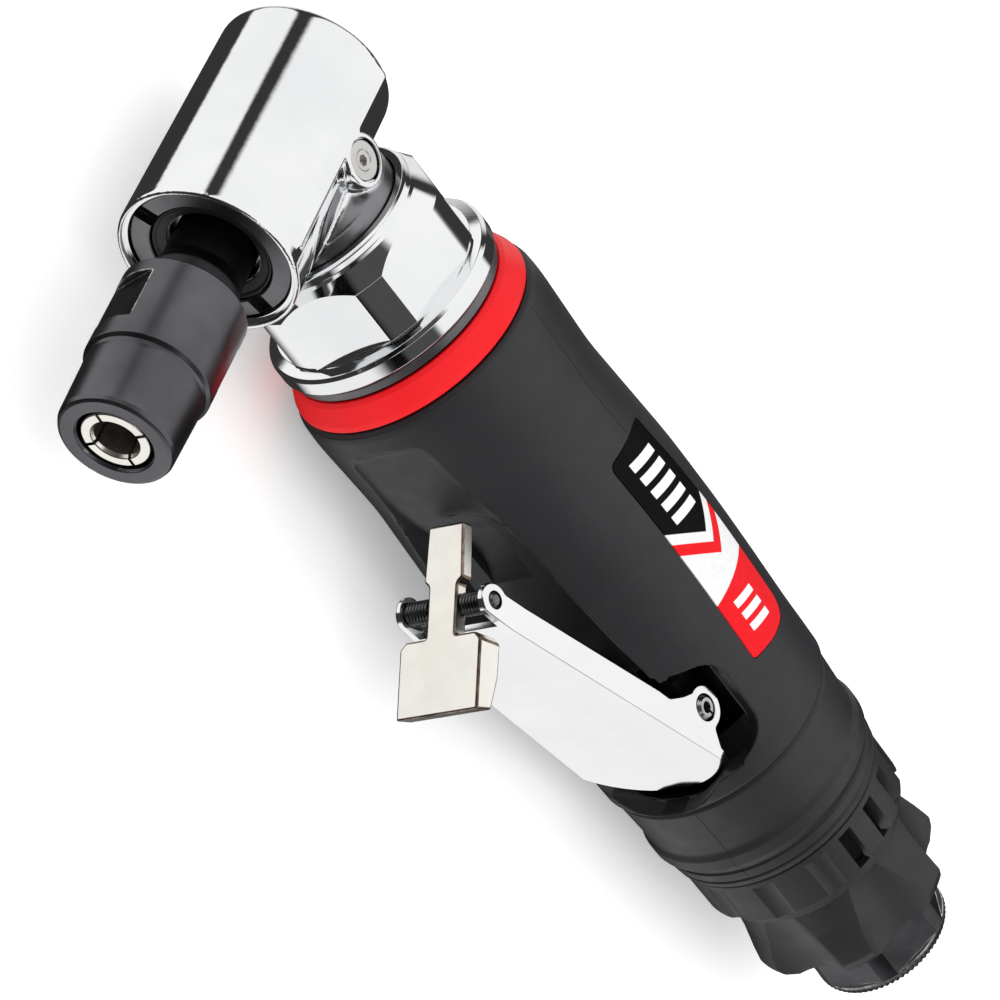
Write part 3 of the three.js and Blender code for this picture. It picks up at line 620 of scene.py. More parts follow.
FINISHES = {
    "polished_chrome": metal("polished_chrome", CHROME_DARK, CHROME_LIGHT, **CHROME_SKIN),
    "machined_steel": metal(
        "machined_steel", (0.40, 0.41, 0.42), (0.56, 0.57, 0.58), (0.22, 0.34), depth=0.12,
    ),
    "black_oxide": metal(
        "black_oxide", (0.105, 0.103, 0.112), (0.150, 0.147, 0.158), (0.26, 0.36),
        grain=1800.0, stretch=(1, 0.4, 1), depth=0.10, wear=(0.42, 0.41, 0.41),
    ),
    "dark_cap": metal(
        "dark_cap", (0.15, 0.15, 0.16), (0.21, 0.21, 0.22), (0.34, 0.46), depth=0.12,
    ),
    "housing_alloy": metal(
        "housing_alloy", (0.006, 0.006, 0.007), (0.010, 0.010, 0.011), (0.5, 0.65), depth=0.2,
    ),
    "plate_alloy": metal(
        "plate_alloy", (0.42, 0.42, 0.43), (0.56, 0.56, 0.57), (0.28, 0.42), depth=0.1,
    ),
    "grip_rubber": moulded(
        "grip_rubber", (0.0105, 0.0105, 0.0128), (0.0145, 0.0145, 0.0172), (0.44, 0.52),
    ),
    "rear_plastic": moulded(
        "rear_plastic", (0.0105, 0.0105, 0.0125), (0.0150, 0.0150, 0.0175), (0.42, 0.52),
        grain=3000.0, depth=0.4, speck=0.10,
    ),
    "red_plastic": moulded(
        "red_plastic", (0.70, 0.006, 0.010), (0.78, 0.010, 0.015), (0.34, 0.44),
        depth=0.08, **{"Specular IOR Level": 0.2},
    ),
    "nickel": metal(
        "nickel", (0.93, 0.895, 0.825), (0.98, 0.955, 0.895), (0.22, 0.30),
        grain=5000.0, depth=0.02,
    ),
    "spring_steel": metal(
        "spring_steel", (0.12, 0.12, 0.125), (0.20, 0.20, 0.205), (0.16, 0.24),
    ),
    "vane_phenolic": moulded(
        "vane_phenolic", (0.16, 0.09, 0.045), (0.24, 0.14, 0.07), (0.6, 0.7),
    ),
    "seal_rubber": moulded(
        "seal_rubber", (0.006, 0.006, 0.0065), (0.010, 0.010, 0.011), (0.45, 0.6),
    ),
    "felt": moulded(
        "felt", (0.006, 0.006, 0.0055), (0.016, 0.016, 0.015), (0.9, 1.0), grain=2200.0,
        depth=0.9, distance=0.0003, **{"Specular IOR Level": 0.1},
    ),
    "decal": decal_film(),
}
CAST_HEAD = cast_head()
LEVER_CHROME = metal(
    "lever_chrome", (0.90, 0.905, 0.915), (0.95, 0.953, 0.96), (0.10, 0.17),
    grain=1200.0, stretch=(0.5, 3, 0.5), depth=0.02,
)
SCREW_STEEL = metal(
    "screw_steel", (0.62, 0.61, 0.59), (0.76, 0.75, 0.73), (0.2, 0.3), depth=0.08,
)
CHIPPED_OXIDE = metal(
    "chipped_oxide", (0.12, 0.12, 0.13), (0.85, 0.84, 0.82), (0.26, 0.4), depth=0.2, patches=900.0,
)
# Painted shade along the catch's rounded edges: a patchy dark brown that draws their dark lines.
CATCH_EDGE_SHADE = metal(
    "catch_edge_shade", (0.10, 0.072, 0.055), (0.36, 0.28, 0.22), (0.22, 0.32), depth=0.1, patches=350.0,
)
INLET_BLACK = metal(
    "inlet_black", (0.050, 0.049, 0.054), (0.085, 0.084, 0.092), (0.28, 0.40),
    grain=1800.0, depth=0.12, patches=160.0,
)
# A darker copy of black oxide for the spindle: painted shade, because its neck sits in shadow between the
# nut and the cap.
NECK_PAINTED_SHADE = metal(
    "neck_painted_shade", (0.030, 0.029, 0.031), (0.050, 0.048, 0.051), (0.3, 0.4),
    grain=1800.0, depth=0.10,
)

NODE_SLOTS = {
    "machined_steel": "spindle_bevel_gear upper_spindle_bearing lower_spindle_bearing bevel_pinion "
    "pinion_bearing drive_coupling front_rotor_bearing cylinder_liner rotor rear_rotor_bearing",
    "housing_alloy": "motor_housing",
    "plate_alloy": "front_end_plate rear_end_plate valve_bushing",
    "vane_phenolic": "vane_1 vane_2 vane_3 vane_4 vane_5",
    "seal_rubber": "valve_oring",
    "felt": "exhaust_muffler",
}
for slot_name, names in NODE_SLOTS.items():
    for name in names.split():
        node_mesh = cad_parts[name].data
        node_mesh.materials.clear()
        node_mesh.materials.append(FINISHES[slot_name])


# ---- Angle head ----


def angle_head():
    """Barrel, flat wing, screw boss, neck and web, melted into one cast skin and then bored."""
    head = join(
        lathe(
            "angle_head",
            [(HEAD_BACK, 0), (HEAD_BACK, 12.0, 1.1), (HEAD_RIM, 12.45, 0.3), (HEAD_RIM, 0)],
            "down",
        ),
        side("wing", [(0, -13.8), (3.3, -13.8, 0.5), (3.3, 18.8, 1.0), (0, 18.8)], -12.3, 12.3),
        lathe("boss", [(6, 0), (6, 3.75), (12.25, 3.75, 0.3), (12.25, 0)], "z", COARSE, SCREW),
        lathe(
            "neck",
            [(2, 0), (2, 8.2), (6.5, 8.8), (9.2, 10.2), (10.6, 11.6), (16.7, 11.6), (16.7, 13.0),
             (18.6, 13.0), (18.6, 11.4), (27, 11.4), (27, 0)],
        ),
        side("web", [(0, -1.0), (9.0, 1.5, 1), (8.2, 7.0, 2), (3.0, 14.5, 1), (0, 14.5)], -7.4, 7.4),
    )
    melt(head, CAST_GRAIN, CAST_SOFTENING)
    cut(
        head,
        lathe(
            "spindle_bore",
            [(-12.9, 0), (-12.9, 7.2), (-8.9, 7.2), (-8.9, 10.2), (17.6, 10.2), (17.6, 11.25),
             (20.3, 11.25), (20.3, 11.7), (20.9, 11.75), (21.4, 12.1), (22.4, 12.1), (22.4, 0)],
            "down",
        ),
        lathe("pinion_bore", [(0, 0), (0, 7.8), (18.4, 7.8), (18.4, 9), (28, 9), (28, 0)]),
        lathe(
            "screw_hole",
            [(10.6, 0), (10.6, 3.0), (12.1, 3.0), (12.8, 3.25), (13.5, 3.25), (13.5, 0)],
            "z", COARSE, SCREW,
        ),
    )
    place(head, "housing", "polished_chrome", ["angle_housing"], sharp=38, finish=CAST_HEAD)


def head_cap_and_seals():
    """The cap ring with its two wrench slots, a black ring that paints the shade of the gap at the rim, and
    the lip seal on the spindle.
    """
    head_cap = lathe(
        "head_cap_ring",
        [(17.9, 6.3), (17.9, 11.0), (19.95, 11.0, 0.2), (19.95, 8.4, 0.3), (18.6, 8.3, 0.2), (18.6, 6.3)],
        "down",
    )
    for turn in (81, -119):
        cut(head_cap, around_down(block("slot", -1.3, 1.3, 18.6, 25, 7.6, 13), turn))
    place(round_edges(head_cap, 0.12), "housing", "dark_cap", ["head_cap"])
    # A thin black ring fills the gap at the rim: painted shade where the gap would be dark.
    rim_gap = lathe(
        "rim_gap_shade_ring",
        [(18.2, 11.02), (18.2, 11.22), (19.3, 11.22, 0.08), (19.3, 11.02, 0.08)],
        "down",
    )
    place(rim_gap, "housing", "seal_rubber")
    lip_seal = lathe(
        "lip_seal_ring",
        [(18.65, 6.5), (18.65, 8.2), (19.75, 8.2, 0.15), (19.3, 7.6, 0.3), (18.95, 6.5)],
        "down",
    )
    place(lip_seal, "housing", "seal_rubber")


def grease_screw():
    screw = cut(
        lathe(
            "grease_plug",
            [(10.9, 0), (10.9, 2.75), (12.0, 2.75, 0.25), (12.0, 1.5, 0.2), (11.85, 1.35, 0.1), (11.85, 0)],
            "z", COARSE, SCREW,
        ),
        rod("socket", 11.0, 13, 0.8, "z", 6, SCREW),
    )
    place(
        round_edges(screw, 0.06), "housing", "machined_steel", ["grease_screw"], finish=SCREW_STEEL
    )


def spindle_shaft():
    """The stepped spindle, with the tapered seat for the collet in its nose."""
    spindle = cut(
        lathe(
            "spindle_shaft",
            [(-12.5, 0), (-12.5, 2.6), (-3.6, 2.6), (-3.6, 2.9), (8.6, 2.9), (8.6, 6), (10.2, 6),
             (10.2, 4.7), (17, 4.7), (17, 5.6), (24, 5.6, 1.5), (26, 6.4, 1.5), (46, 6.4), (46, 0)],
            "down", MEDIUM,
        ),
        lathe("taper", [(29.5, 0), (29.5, 4.6), (43.5, 4.6), (47, 5.9), (47, 0)], "down", MEDIUM),
    )
    # The spindle takes the darker copy of black oxide, which paints the shade on its neck.
    place(spindle, "spindle", "black_oxide", ["spindle"], sharp=30, finish=NECK_PAINTED_SHADE)


# ---- Collet and its nut ----


def collet_jaws():
    """A sleeve that two crossed slits part into four jaws."""
    collet = cut(
        lathe(
            "collet_jaws",
            [(30.2, 0), (30.2, 4.3), (43.3, 4.3), (46.6, 5.6), (48, 5.6), (49.4, 4.7),
             (52.9, 4.7, 0.25), (52.9, 0)],
            "down", MEDIUM,
        ),
        lathe(
            "bore",
            [(29, 0), (29, SHANK_HOLE), (52.3, SHANK_HOLE), (52.7, 3.4), (54, 3.4), (54, 0)],
            "down", MEDIUM,
        ),
    )
    for turn in (-86, -176):
        cut(collet, around_down(block("slit", -6, 6, 33, 54, -0.24, 0.24), turn))
    place(round_edges(collet, 0.08, 2), "collet", "nickel", ["collet"])


def collet_nut():
    """The nut with its two wrench flats; its bevels are chipped to bare metal."""
    nut = lathe(
        "collet_nut_body",
        [(28.8, 6.7), (28.8, 8.15, 0.2), (29.3, 8.65, 0.2), (42.2, 8.65, 0.3), (42.7, 8.18, 0.2),
         (43.1, 8.02, 0.25), (43.9, 8.1, 0.2), (52.5, 7.9, 0.3), (53.1, 7.65, 0.3), (53.3, 7.2, 0.25),
         (53.3, 5.45, 0.15), (52.9, 5.2, 0.1), (49.6, 5.2), (48.6, 5.9), (46.6, 6.7)],
        "down", FINEST,
    )
    for turn in (-14.5, -194.5):
        cut(nut, around_down(block("flat", 7.6, 12, 31.3, 39.3, -8, 8), turn))
    round_edges(nut, 0.1, 2, 20, own_finish=True, merge=0.03, clamp=False)
    place(nut, "collet_nut", "black_oxide", ["collet_nut"], edge_finish=CHIPPED_OXIDE)


# ---- Clamp nut and rings ----


def clamp_nut():
    clamp = lathe(
        "clamp_nut_body",
        [(12.8, 11.9), (12.8, 12.9, 0.2), (13.1, 13.35, 0.3), (13.9, 13.5, 0.3), (14.3, 13.9, 0.4),
         (17.0, 15.65, 0.3), (25.6, 15.65), (25.6, 15.2), (25.9, 15.2), (26.3, 16.7, 0.3),
         (26.8, 17.1, 0.3), (28.9, 17.1, 0.25), (29.2, 16.7, 0.2), (29.2, 13.4), (16.4, 13.4),
         (16.4, 11.9)],
    )
    cut_around(
        clamp,
        [12.8 + 60 * i for i in range(6)],
        lambda: side("flat", [(13.6, 14.5), (25.6, 14.5), (25.6, 20), (13.6, 20)], -9, 9),
    )
    place(round_edges(clamp, 0.14, 2, 12), "housing", "polished_chrome", ["clamp_nut"])


def front_rings():
    spacer = lathe("spacer_ring", [(29.5, 13.5), (29.5, 16.4, 0.2), (30.9, 16.4, 0.2), (30.9, 13.5)])
    place(spacer, "housing", "dark_cap", ["clamp_spacer"])
    red_ring = lathe(
        "red_ring",
        [(31.2, SLEEVE_BORE), (31.2, 16.5, 0.25), (31.7, 17.0, 0.3), (34.2, 18.1, 0.6),
         (35.2, 18.3, 0.35), (35.2, SLEEVE_BORE)],
        sides=FINEST,
    )
    place(red_ring, "housing", "red_plastic", ["red_trim_ring"])


# ---- Grip ----

GRIP_LINE = smooth_line(
    [(36.6, 18.75), (40, 18.85), (47, 18.55), (53, 18.35), (59, 18.6), (65, 18.9), (72, 19.2),
     (79, 19.25), (86, 19.2), (95, 18.95), (104, 18.6), (110, 18.48), (113.2, 18.4)]
)


def lever_out(x):
    """Distance out of the lever's outer face at x."""
    return 28.5 - (x - 62.8) * 0.29


def lever_plan(clear, start=58.8, steps=20):
    """Plan of the lever's plate, [x, z]: it widens towards the rear and ends in one arc."""
    corner = 107

    def half(x):
        return 8 + (x - 64) * 4 / (corner - 64) + clear

    end = 113.4 + clear
    rise = end - corner
    chord = half(corner)
    radius = (chord * chord + rise * rise) / (2 * rise)
    reach = math.asin(chord / radius)
    line = [(start, -half(start)), (corner, -half(corner))]
    for i in range(1, steps):
        angle = -reach + 2 * reach * i / steps
        line.append((end - radius + radius * math.cos(angle), radius * math.sin(angle)))
    line += [(corner, half(corner)), (start, half(start))]
    return line


def decal_prism(name, grow):
    """The decal's outline, grown by a margin and extruded through the grip's side."""
    outline = [
        (61.2 - grow, -4.3 - grow, 1.2), (99.6 + grow, -4.7 - grow, 0.8), (100.9 + grow, 0.5, 8),
        (101.4 + grow, 6.6 + grow, 3.4), (80.0, 7.2 + grow, 30), (62.0 - grow, 6.1 + grow, 1.2),
    ]
    return prism(name, outline, 8, 24, lambda x, y, z: (x, y, z))


def skin(name, above, below):
    """A thin shell that follows the grip's outline."""
    upper = [(x, r + above) for x, r in GRIP_LINE]
    lower = [(x, r + below) for x, r in GRIP_LINE]
    return lathe(name, upper + lower[::-1], sides=FINEST)


def scoop(name, sign):
    """The dished rim beside the lever's rear pivot: it narrows towards the grip's side."""
    corners = [(91.2, 6.8, 4.5), (110.6, 6.8, 4.5), (110.6, 26, 1), (91.2, 26, 1)]
    middle_x, middle_out = LEVER_PIN[0], 16

    def shrunk(x, out, z):
        size = 1 - 0.30 * (z - 12.2) / 4.8
        return (middle_x + (x - middle_x) * size, -(middle_out + (out - middle_out) * size), sign * z)

    return prism(name, corners, 12.2, 17, shrunk)


def recess_section(x, floor, lean):
    """The recess across the tool: a flat floor, curved feet and leaning walls up to the ridges."""
    ridge_half = 7.4 + (x - 39) * 0.0672
    ridge = math.sqrt(18.9**2 - ridge_half**2)
    foot = ridge_half - lean
    curve = min(1.6, 0.45 * foot)
    half = [
        (foot - curve, floor),
        (foot - 0.45 * curve, floor + 0.1 * curve),
        (foot, floor + 0.45 * curve),
        (ridge_half, max(ridge, floor + 0.5 * curve) + 0.1),
        (ridge_half + 0.5, 24),
    ]
    right = [(x, -out, z) for z, out in half]
    left = [(x, -out, -z) for z, out in reversed(half)]
    return left + right


# The recess along the tool: x, its floor and the lean of its walls.
RECESS = [
    (39.0, 19.0, 0.9), (39.5, 18.25, 0.9), (40.2, 17.75, 0.9), (41.2, 17.45, 0.9), (44, 17.1, 0.9),
    (48, 16.65, 1.0), (52, 16.0, 1.2), (55, 15.25, 1.5), (57.5, 14.5, 1.8), (60, 13.95, 2.0),
    (63, 13.6, 2.1), (68, RECESS_FLOOR, 1.9), (75, RECESS_FLOOR, 1.5), (82, RECESS_FLOOR, 1.0),
    (88, RECESS_FLOOR, 0.5), (97, RECESS_FLOOR, 0.5),
]


def recess_room():
    return loft("recess_room", [recess_section(*station) for station in RECESS])


def pivot_slot():
    return block("pivot_slot", 91.5, 110.8, 7.2, 24, -12.7, 12.7)


def rubber_grip():
    """The sleeve with the lever's recess, the parting line and the decal's shallow seat."""
    grip = lathe(
        "grip_sleeve",
        [(35.5, SLEEVE_BORE), (35.5, 18.0, 0.3), (35.9, 18.6, 0.4)]
        + GRIP_LINE
        + [(113.9, 18.1, 0.3), (114.0, 17.6), (114.0, SLEEVE_BORE)],
        sides=FINEST,
    )
    cut(grip, recess_room(), plan("recess_rear", lever_plan(0.7, 90), 11, 24), pivot_slot())
    cut(grip, scoop("scoop_right", 1), scoop("scoop_left", -1))
    round_edges(grip, 0.3, 3, 26, merge=0.02, clamp=False)
    parting = around_x(block("parting_line", 35, 61, 0, 24, -0.06, 0.06), 96)
    cut(grip, common(skin("parting_skin", 1, -0.07), parting), solver="EXACT")
    cut(grip, common(skin("recess", 1, -0.43), decal_prism("recess_area", 0.15)), solver="EXACT")
    grip.visible_glossy = False
    place(grip, "housing", "grip_rubber", ["rubber_grip"], sharp=34)


def grip_pocket_floor():
    """The rubber floor under the lever, with the trough that the catch's tip swings through."""
    floor = common(
        block("grip_pocket_floor", 53.7, 97, 13.45, 15.6, -7.4, 7.4),
        rod("grip_bore", 50, 100, SLEEVE_BORE - 0.02, sides=FINEST),
    )
    join(floor, block("trough_floor", 53.7, 72.7, 12.25, 13.6, -3.56, 3.56))
    cut(
        floor,
        recess_room(),
        rod("arm_trough", -3.5, 3.5, 12.2, "z", FINE, (64.6, -24.6, 0)),
        pivot_slot(),
        rod("stem_hole", 7, 24, 5.0, "down", COARSE, VALVE),
    )
    floor.visible_glossy = False
    place(floor, "housing", "grip_rubber", sharp=34)


def side_decal():
    decal = common(skin("side_decal_film", 0.02, -0.33), decal_prism("film_area", 0))
    place(decal, "housing", "decal", ["side_decal"], sharp=30)


# ---- Rear ----


def rear_collar():
    collar = lathe(
        "rear_collar_ring",
        [(114.3, SLEEVE_BORE), (114.3, 17.5, 0.2), (114.9, 17.85, 0.4), (121.0, 17.5, 3),
         (123.2, 17.45, 1.5), (124.3, 17.95, 0.7), (126.2, 17.95, 0.9), (127.3, 17.3, 0.4),
         (127.65, 16.95, 0.1), (128.0, 17.25, 0.3), (129.3, 17.2, 0.3), (129.65, 16.8, 0.1),
         (130.0, 17.05, 0.2), (130.9, 16.9, 0.3), (131.0, 16.3), (131.0, SLEEVE_BORE)],
        sides=FINEST,
    )
    cut(collar, around_x(block("parting_line", 114, 131.5, 16.6, 24, -0.05, 0.05), 10.6))
    collar.visible_glossy = False
    place(collar, "housing", "rear_plastic", ["rear_collar"], sharp=34)


def exhaust_deflector():
    """A fluted ring whose five windows blow the exhaust air to one side."""
    deflector = lathe(
        "deflector_ring",
        [(131.3, 13.9), (131.3, 16.6, 0.2), (139.0, 16.5, 0.35), (139.2, 15.3, 0.2),
         (141.2, 15.0, 0.3), (141.2, 9.8), (139.9, 9.8), (139.9, 13.9)],
    )
    cut_around(
        deflector,
        [61 + 20 * i for i in range(5)],
        lambda: block("window", 132.2, 139.6, 13.1, 18, -1.25, 1.25),
    )
    cut_around(
        deflector,
        [42 - 30 * i for i in range(9)],
        lambda: rod("flute", 132.2, 143, 3, sides=COARSE, at=(0, -18.95, 0)),
    )
    deflector.visible_glossy = False
    place(round_edges(deflector, 0.16, 3), "deflector", "rear_plastic", ["exhaust_deflector"])


def scallop():
    """The slightly tilted round tool that hollows one of the regulator's six flanks."""
    groove = rod("scallop", -16, 8, 8, sides=128)
    tilt = Matrix.Rotation(math.radians(5.7), 4, "Z")
    groove.data.transform(Matrix.Translation((151.8, -20.3, 0)) @ tilt)
    return groove


def regulator_ring():
    regulator = lathe(
        "regulator_knob",
        [(141.5, 9.7), (141.5, 13.9, 0.3), (146, 14.6, 3), (149.4, 15.5, 3), (151.8, 16.0, 1.0),
         (153.2, 15.4, 1.0), (154.5, 13.9, 0.4), (154.5, 9.7)],
        sides=FINEST,
    )
    cut_around(regulator, [57 + 60 * i for i in range(6)], scallop)
    regulator.visible_glossy = False
    place(round_edges(regulator, 0.2, 3, 24), "regulator", "rear_plastic", ["regulator_ring"])


def serrated(radius, angle):
    """Fine teeth round the rim's edge; the inner radii stay round."""
    return radius - 0.32 * (0.5 + 0.5 * math.cos(angle * RIM_TEETH)) if radius > 10 else radius


def inlet_bushing():
    """The hexagon with the threaded air hole, and the serrated rim at its end."""
    thread = [(162.5 - 0.675 * k, 5.9 + 0.45 * (k % 2)) for k in range(1, 26)]
    inlet = lathe(
        "inlet_hex_body",
        [(121, 4.0), (121, 9.3, 0.2), (154.8, 9.3), (154.8, 10.7, 0.25), (161.9, 10.7), (161.9, 6.6),
         (162.5, 5.9)]
        + thread
        + [(144.5, 5.9), (142, 5.9), (142, 4.0)],
        sides=144,
    )
    cut_around(
        inlet,
        [59.5 + 60 * i for i in range(6)],
        lambda: side("flat", [(154, 9.85), (161.5, 9.85), (161.5, 13), (154, 13)], -8, 8),
    )
    round_edges(inlet, 0.12, 2, 24, own_finish=True, merge=0.03, clamp=False)
    rim = lathe(
        "knurled_rim",
        [(161.8, 6.9), (161.8, 10.7, 0.1), (162.5, 10.65, 0.2), (163.2, 10.1, 0.2),
         (163.2, 6.7, 0.1), (162.9, 6.5)],
        sides=RIM_TEETH * 8,
        radius_of=serrated,
    )
    join(inlet, rim)
    inlet.visible_glossy = False
    place(
        inlet, "housing", "black_oxide", ["inlet_bushing"], sharp=30, finish=INLET_BLACK,
        edge_finish=CHIPPED_OXIDE,
    )


def inlet_screen():
    """A dished disc with a round field of square holes."""
    hole = 0.28  # half a hole's width
    screen = lathe(
        "inlet_mesh",
        [(142.3, 0), (142.3, 5.6, 0.1), (143.1, 5.6, 0.2), (143.1, 4.9, 0.1), (142.8, 4.7), (142.8, 0)],
        sides=COARSE,
    )
    for i in range(-4, 5):
        cut(screen, block("hole_row", 141, 144, i - hole, i + hole, -hole, hole))
    for i in (-4, -3, -2, -1, 1, 2, 3, 4):
        for k in range(-4, 5):
            if i * i + k * k < 18:
                cut(screen, block("hole", 141, 144, k - hole, k + hole, i - hole, i + hole))
    place(screen, "housing", "machined_steel", ["inlet_screen"], sharp=30)


# ---- Throttle lever ----


def arc(cx, cy, radius, start, end, steps):
    points = []
    for i in range(steps + 1):
        angle = math.radians(start + (end - start) * i / steps)
        points.append((cx + radius * math.cos(angle), cy + radius * math.sin(angle)))
    return points


def throttle_lever():
    """A folded channel: its flanges run back to the roll pin, its plate ends in an arc."""
    wall = 1.4
    profile = (
        [(66, lever_out(66)), (114.4, lever_out(114.4)), (114.4, lever_out(114.4) - wall),
         (106.4, lever_out(106.4) - 1.8)]
        + arc(*LEVER_PIN, 3.3, 20, -180, 24)
        + [(96.6, 12.8, 1.2), (94.6, 14.9, 1.2), (92.4, lever_out(92.4) - 4.6, 1.5),
           (66, lever_out(66) - 4.4, 1.0)]
        + arc(*CATCH_PIN, 2.4, -62, -262, 20)
    )
    lever = common(side("lever_plate", profile, -14, 14), plan("lever_plan", lever_plan(0), 0, 40))
    round_edges(lever, 0.6, 4, 35)
    below_plate = [(50, 0), (120, 0), (120, lever_out(120) - wall), (50, lever_out(50) - wall)]
    inside = common(
        side("inside", below_plate, -14, 14),
        plan("inside_plan", lever_plan(-wall), -1, 40),
    )
    cut(
        lever,
        inside,
        block("front_gap", 50, 64.5, 15, 40, -6.65, 6.65),
        block("rear_opening", 106, 120, 0, 10, -20, 20),
        rod("pin_hole", -16, 16, 2.0, "z", COARSE, cross_pin(LEVER_PIN)),
        rod("ear_hole", -16, 16, 1.3, "z", COARSE, cross_pin(CATCH_PIN)),
    )
    place(lever, "lever", "polished_chrome", ["throttle_lever"], sharp=30, finish=LEVER_CHROME)


def pins():
    """The rolled pin that the lever turns on, and the catch's hinge pin."""
    roll_pin = lathe(
        "roll_pin",
        [(-11.7, 0.8, 0.1), (-11.7, 1.35), (-11.2, 1.7), (11.2, 1.7), (11.7, 1.35), (11.7, 0.8, 0.1)],
        "z", COARSE, cross_pin(LEVER_PIN),
    )
    cut(roll_pin, block("split", LEVER_PIN[0], 104, 11.0, 11.4, -13, 13))
    place(roll_pin, "housing", "machined_steel", ["lever_pin"], sharp=30)
    hinge_pin = lathe(
        "hinge_pin",
        [(-7.9, 0), (-7.9, 0.7), (-7.6, 1.0), (7.6, 1.0), (7.9, 0.7), (7.9, 0)],
        "z", COARSE, cross_pin(CATCH_PIN),
    )
    place(hinge_pin, "lever", "black_oxide", ["catch_pin"], sharp=30)


# ---- Lock-off catch ----

LEAN = Vector((0.46, 0.888)).normalized()  # the way up the catch's plate, as (x, out)


def on_catch(up, behind):
    """A point (x, out): so far up the catch's plate from its pin, and so far behind the pin."""
    return (
        CATCH_PIN[0] + LEAN.x * up + LEAN.y * behind,
        CATCH_PIN[1] + LEAN.y * up - LEAN.x * behind,
    )


def catch_front(up, z, behind):
    x, out = on_catch(up, behind)
    return (x, -out, z)


def lock_off_catch():
    """A bent plate: wide thumb tab above the pin, narrow arm below, and the hub behind."""
    foot, top, front = -11.2, 15.2, -1.7
    profile = [
        on_catch(foot, front), on_catch(top, front), on_catch(14.6, 1.4), on_catch(10, 2.5),
        on_catch(4.4, 2.6), on_catch(4.4, 0.6),
    ]
    profile += [on_catch(*point) for point in arc(0, 0, 1.66, 22, 164, 6)]
    profile += [on_catch(foot, 0.4)]
    half = [(foot, 3.0), (-3.5, 3.3), (-2.8, 2.45), (4.4, 2.45), (4.4, 5.9), (5.4, 6.9), (top, 6.9)]
    outline = half + [(up, -z) for up, z in reversed(half)]
    catch = common(
        side("catch_plate", profile, -8, 8),
        prism("catch_front", outline, -3, 4, catch_front),
    )
    # The rounded edges take the darker edge finish, which paints the shade along them.
    round_edges(catch, 0.34, 4, 30, own_finish=True, clamp=False)
    cut(catch, rod("pin_hole", -4, 4, 1.3, "z", COARSE, cross_pin(CATCH_PIN)))
    place(catch, "catch", "nickel", ["lock_off_catch"], sharp=40, edge_finish=CATCH_EDGE_SHADE)


def catch_springs():
    for side_name, sign in (("right", 1), ("left", -1)):
        spring = coil(
            "torsion_spring_" + side_name, 6.5, 1.5, 0.19, sign * 2.9, sign * 6.3,
            cross_pin(CATCH_PIN), leg=2.6, start=2.2,
        )
        place(spring, "lever", "spring_steel", ["catch_spring_" + side_name], sharp=50)


# ---- Throttle valve ----


def valve_stem():
    stem = lathe(
        "valve_pin",
        [(3.9, 0), (3.9, 1.3, 0.1), (5.4, 1.3), (5.4, 3.2, 0.2), (6.8, 3.2, 0.2), (6.8, 1.5),
         (18.6, 1.5, 0.2), (19.3, 1.1, 0.3), (19.3, 0)],
        "down", COARSE, VALVE,
    )
    place(stem, "valve", "machined_steel", ["valve_stem"], sharp=40)


def valve_spring():
    """The coil under the stem's head, drawn at one length; on the real tool it shortens as the lever pushes
    the stem in.
    """
    spring = coil("valve_coil_spring", 7, 2.3, 0.42, -6.1, 4.6, (0, 0, 0))
    spring.data.transform(
        Matrix.Translation(VALVE) @ Matrix.Rotation(math.radians(90), 4, "X")
    )
    place(spring, "housing", "spring_steel", ["valve_spring"], sharp=50)
    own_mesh(spring)


for build_piece in (
    angle_head, head_cap_and_seals, grease_screw, spindle_shaft, collet_jaws, collet_nut, clamp_nut,
    front_rings, rubber_grip, grip_pocket_floor, side_decal, rear_collar, exhaust_deflector,
    regulator_ring, inlet_bushing, inlet_screen, throttle_lever, pins, lock_off_catch, catch_springs,
    valve_stem, valve_spring,
):
    build_piece()


# ---- Floor, light and camera ----
def add_floor():
    """A pale sheet of paper far larger than the view, just under the object."""
    low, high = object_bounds()
    made, nodes = material("floor_paper")
    tone = nodes.spread(nodes.noise(6.0), 0.3, 0.7)
    color = nodes.mix(tone, rgb(0.90, 0.90, 0.90), rgb(0.92, 0.92, 0.92))
    shader(nodes, color, 0.9, **{"Emission Color": rgb(1, 1, 1), "Emission Strength": 0.25})
    reach = 6.0
    floor = new_object(
        "floor",
        [(-reach, -reach, low.z), (reach, -reach, low.z), (reach, reach, low.z), (-reach, reach, low.z)],
        [(0, 1, 2, 3)],
    )
    if floor.data.polygons[0].normal.z < 0:
        floor.data.flip_normals()
    floor.data.materials.append(made)
    floor.visible_glossy = False


add_floor()


def softbox(name, way, distance, size, power):
    """A square area light that looks at the object from the direction way."""
    light = bpy.data.lights.new(name, "AREA")
    light.size = size
    light.energy = power
    obj = bpy.data.objects.new(name, light)
    obj.location = Vector(way).normalized() * distance
    obj.rotation_euler = Vector(way).to_track_quat("Z", "Y").to_euler()
    obj.visible_glossy = False
    bpy.context.scene.collection.objects.link(obj)


softbox("key", (-0.6, -0.5, 1.3), 1.4, 1.6, 6)
softbox("fill", (0.9, -0.9, 0.9), 1.5, 1.6, 4)

# The studio as polished metal sees it: white cards in a dark room, each with its direction, half angle,
# softness (both in degrees) and level, and dark cards that hide part of them.
CARDS = [
    ((-0.033, 0.0, 0.999), 66, 3.0, 0.96),
    ((-0.897, 0.275, -0.344), 38, 2.0, 0.97),
    ((0.66, -0.56, -0.50), 38, 8.0, 0.93),
    ((0.86, -0.42, 0.25), 18, 6.0, 0.90),
    ((0.0, 0.96, -0.26), 24, 8.0, 0.85),
    ((0.0, -0.84, 0.54), 13, 6.0, 0.85),
]
DARK_CARDS = [
    ((0.52, -0.65, 0.556), 22, 4.0, 0.93),
    ((-0.52, -0.60, 0.60), 32, 6.0, 0.93),
]
ROOM = 0.035  # level between the cards
SURROUND = 1.04  # brightness of the white room that lights everything that isn't polished


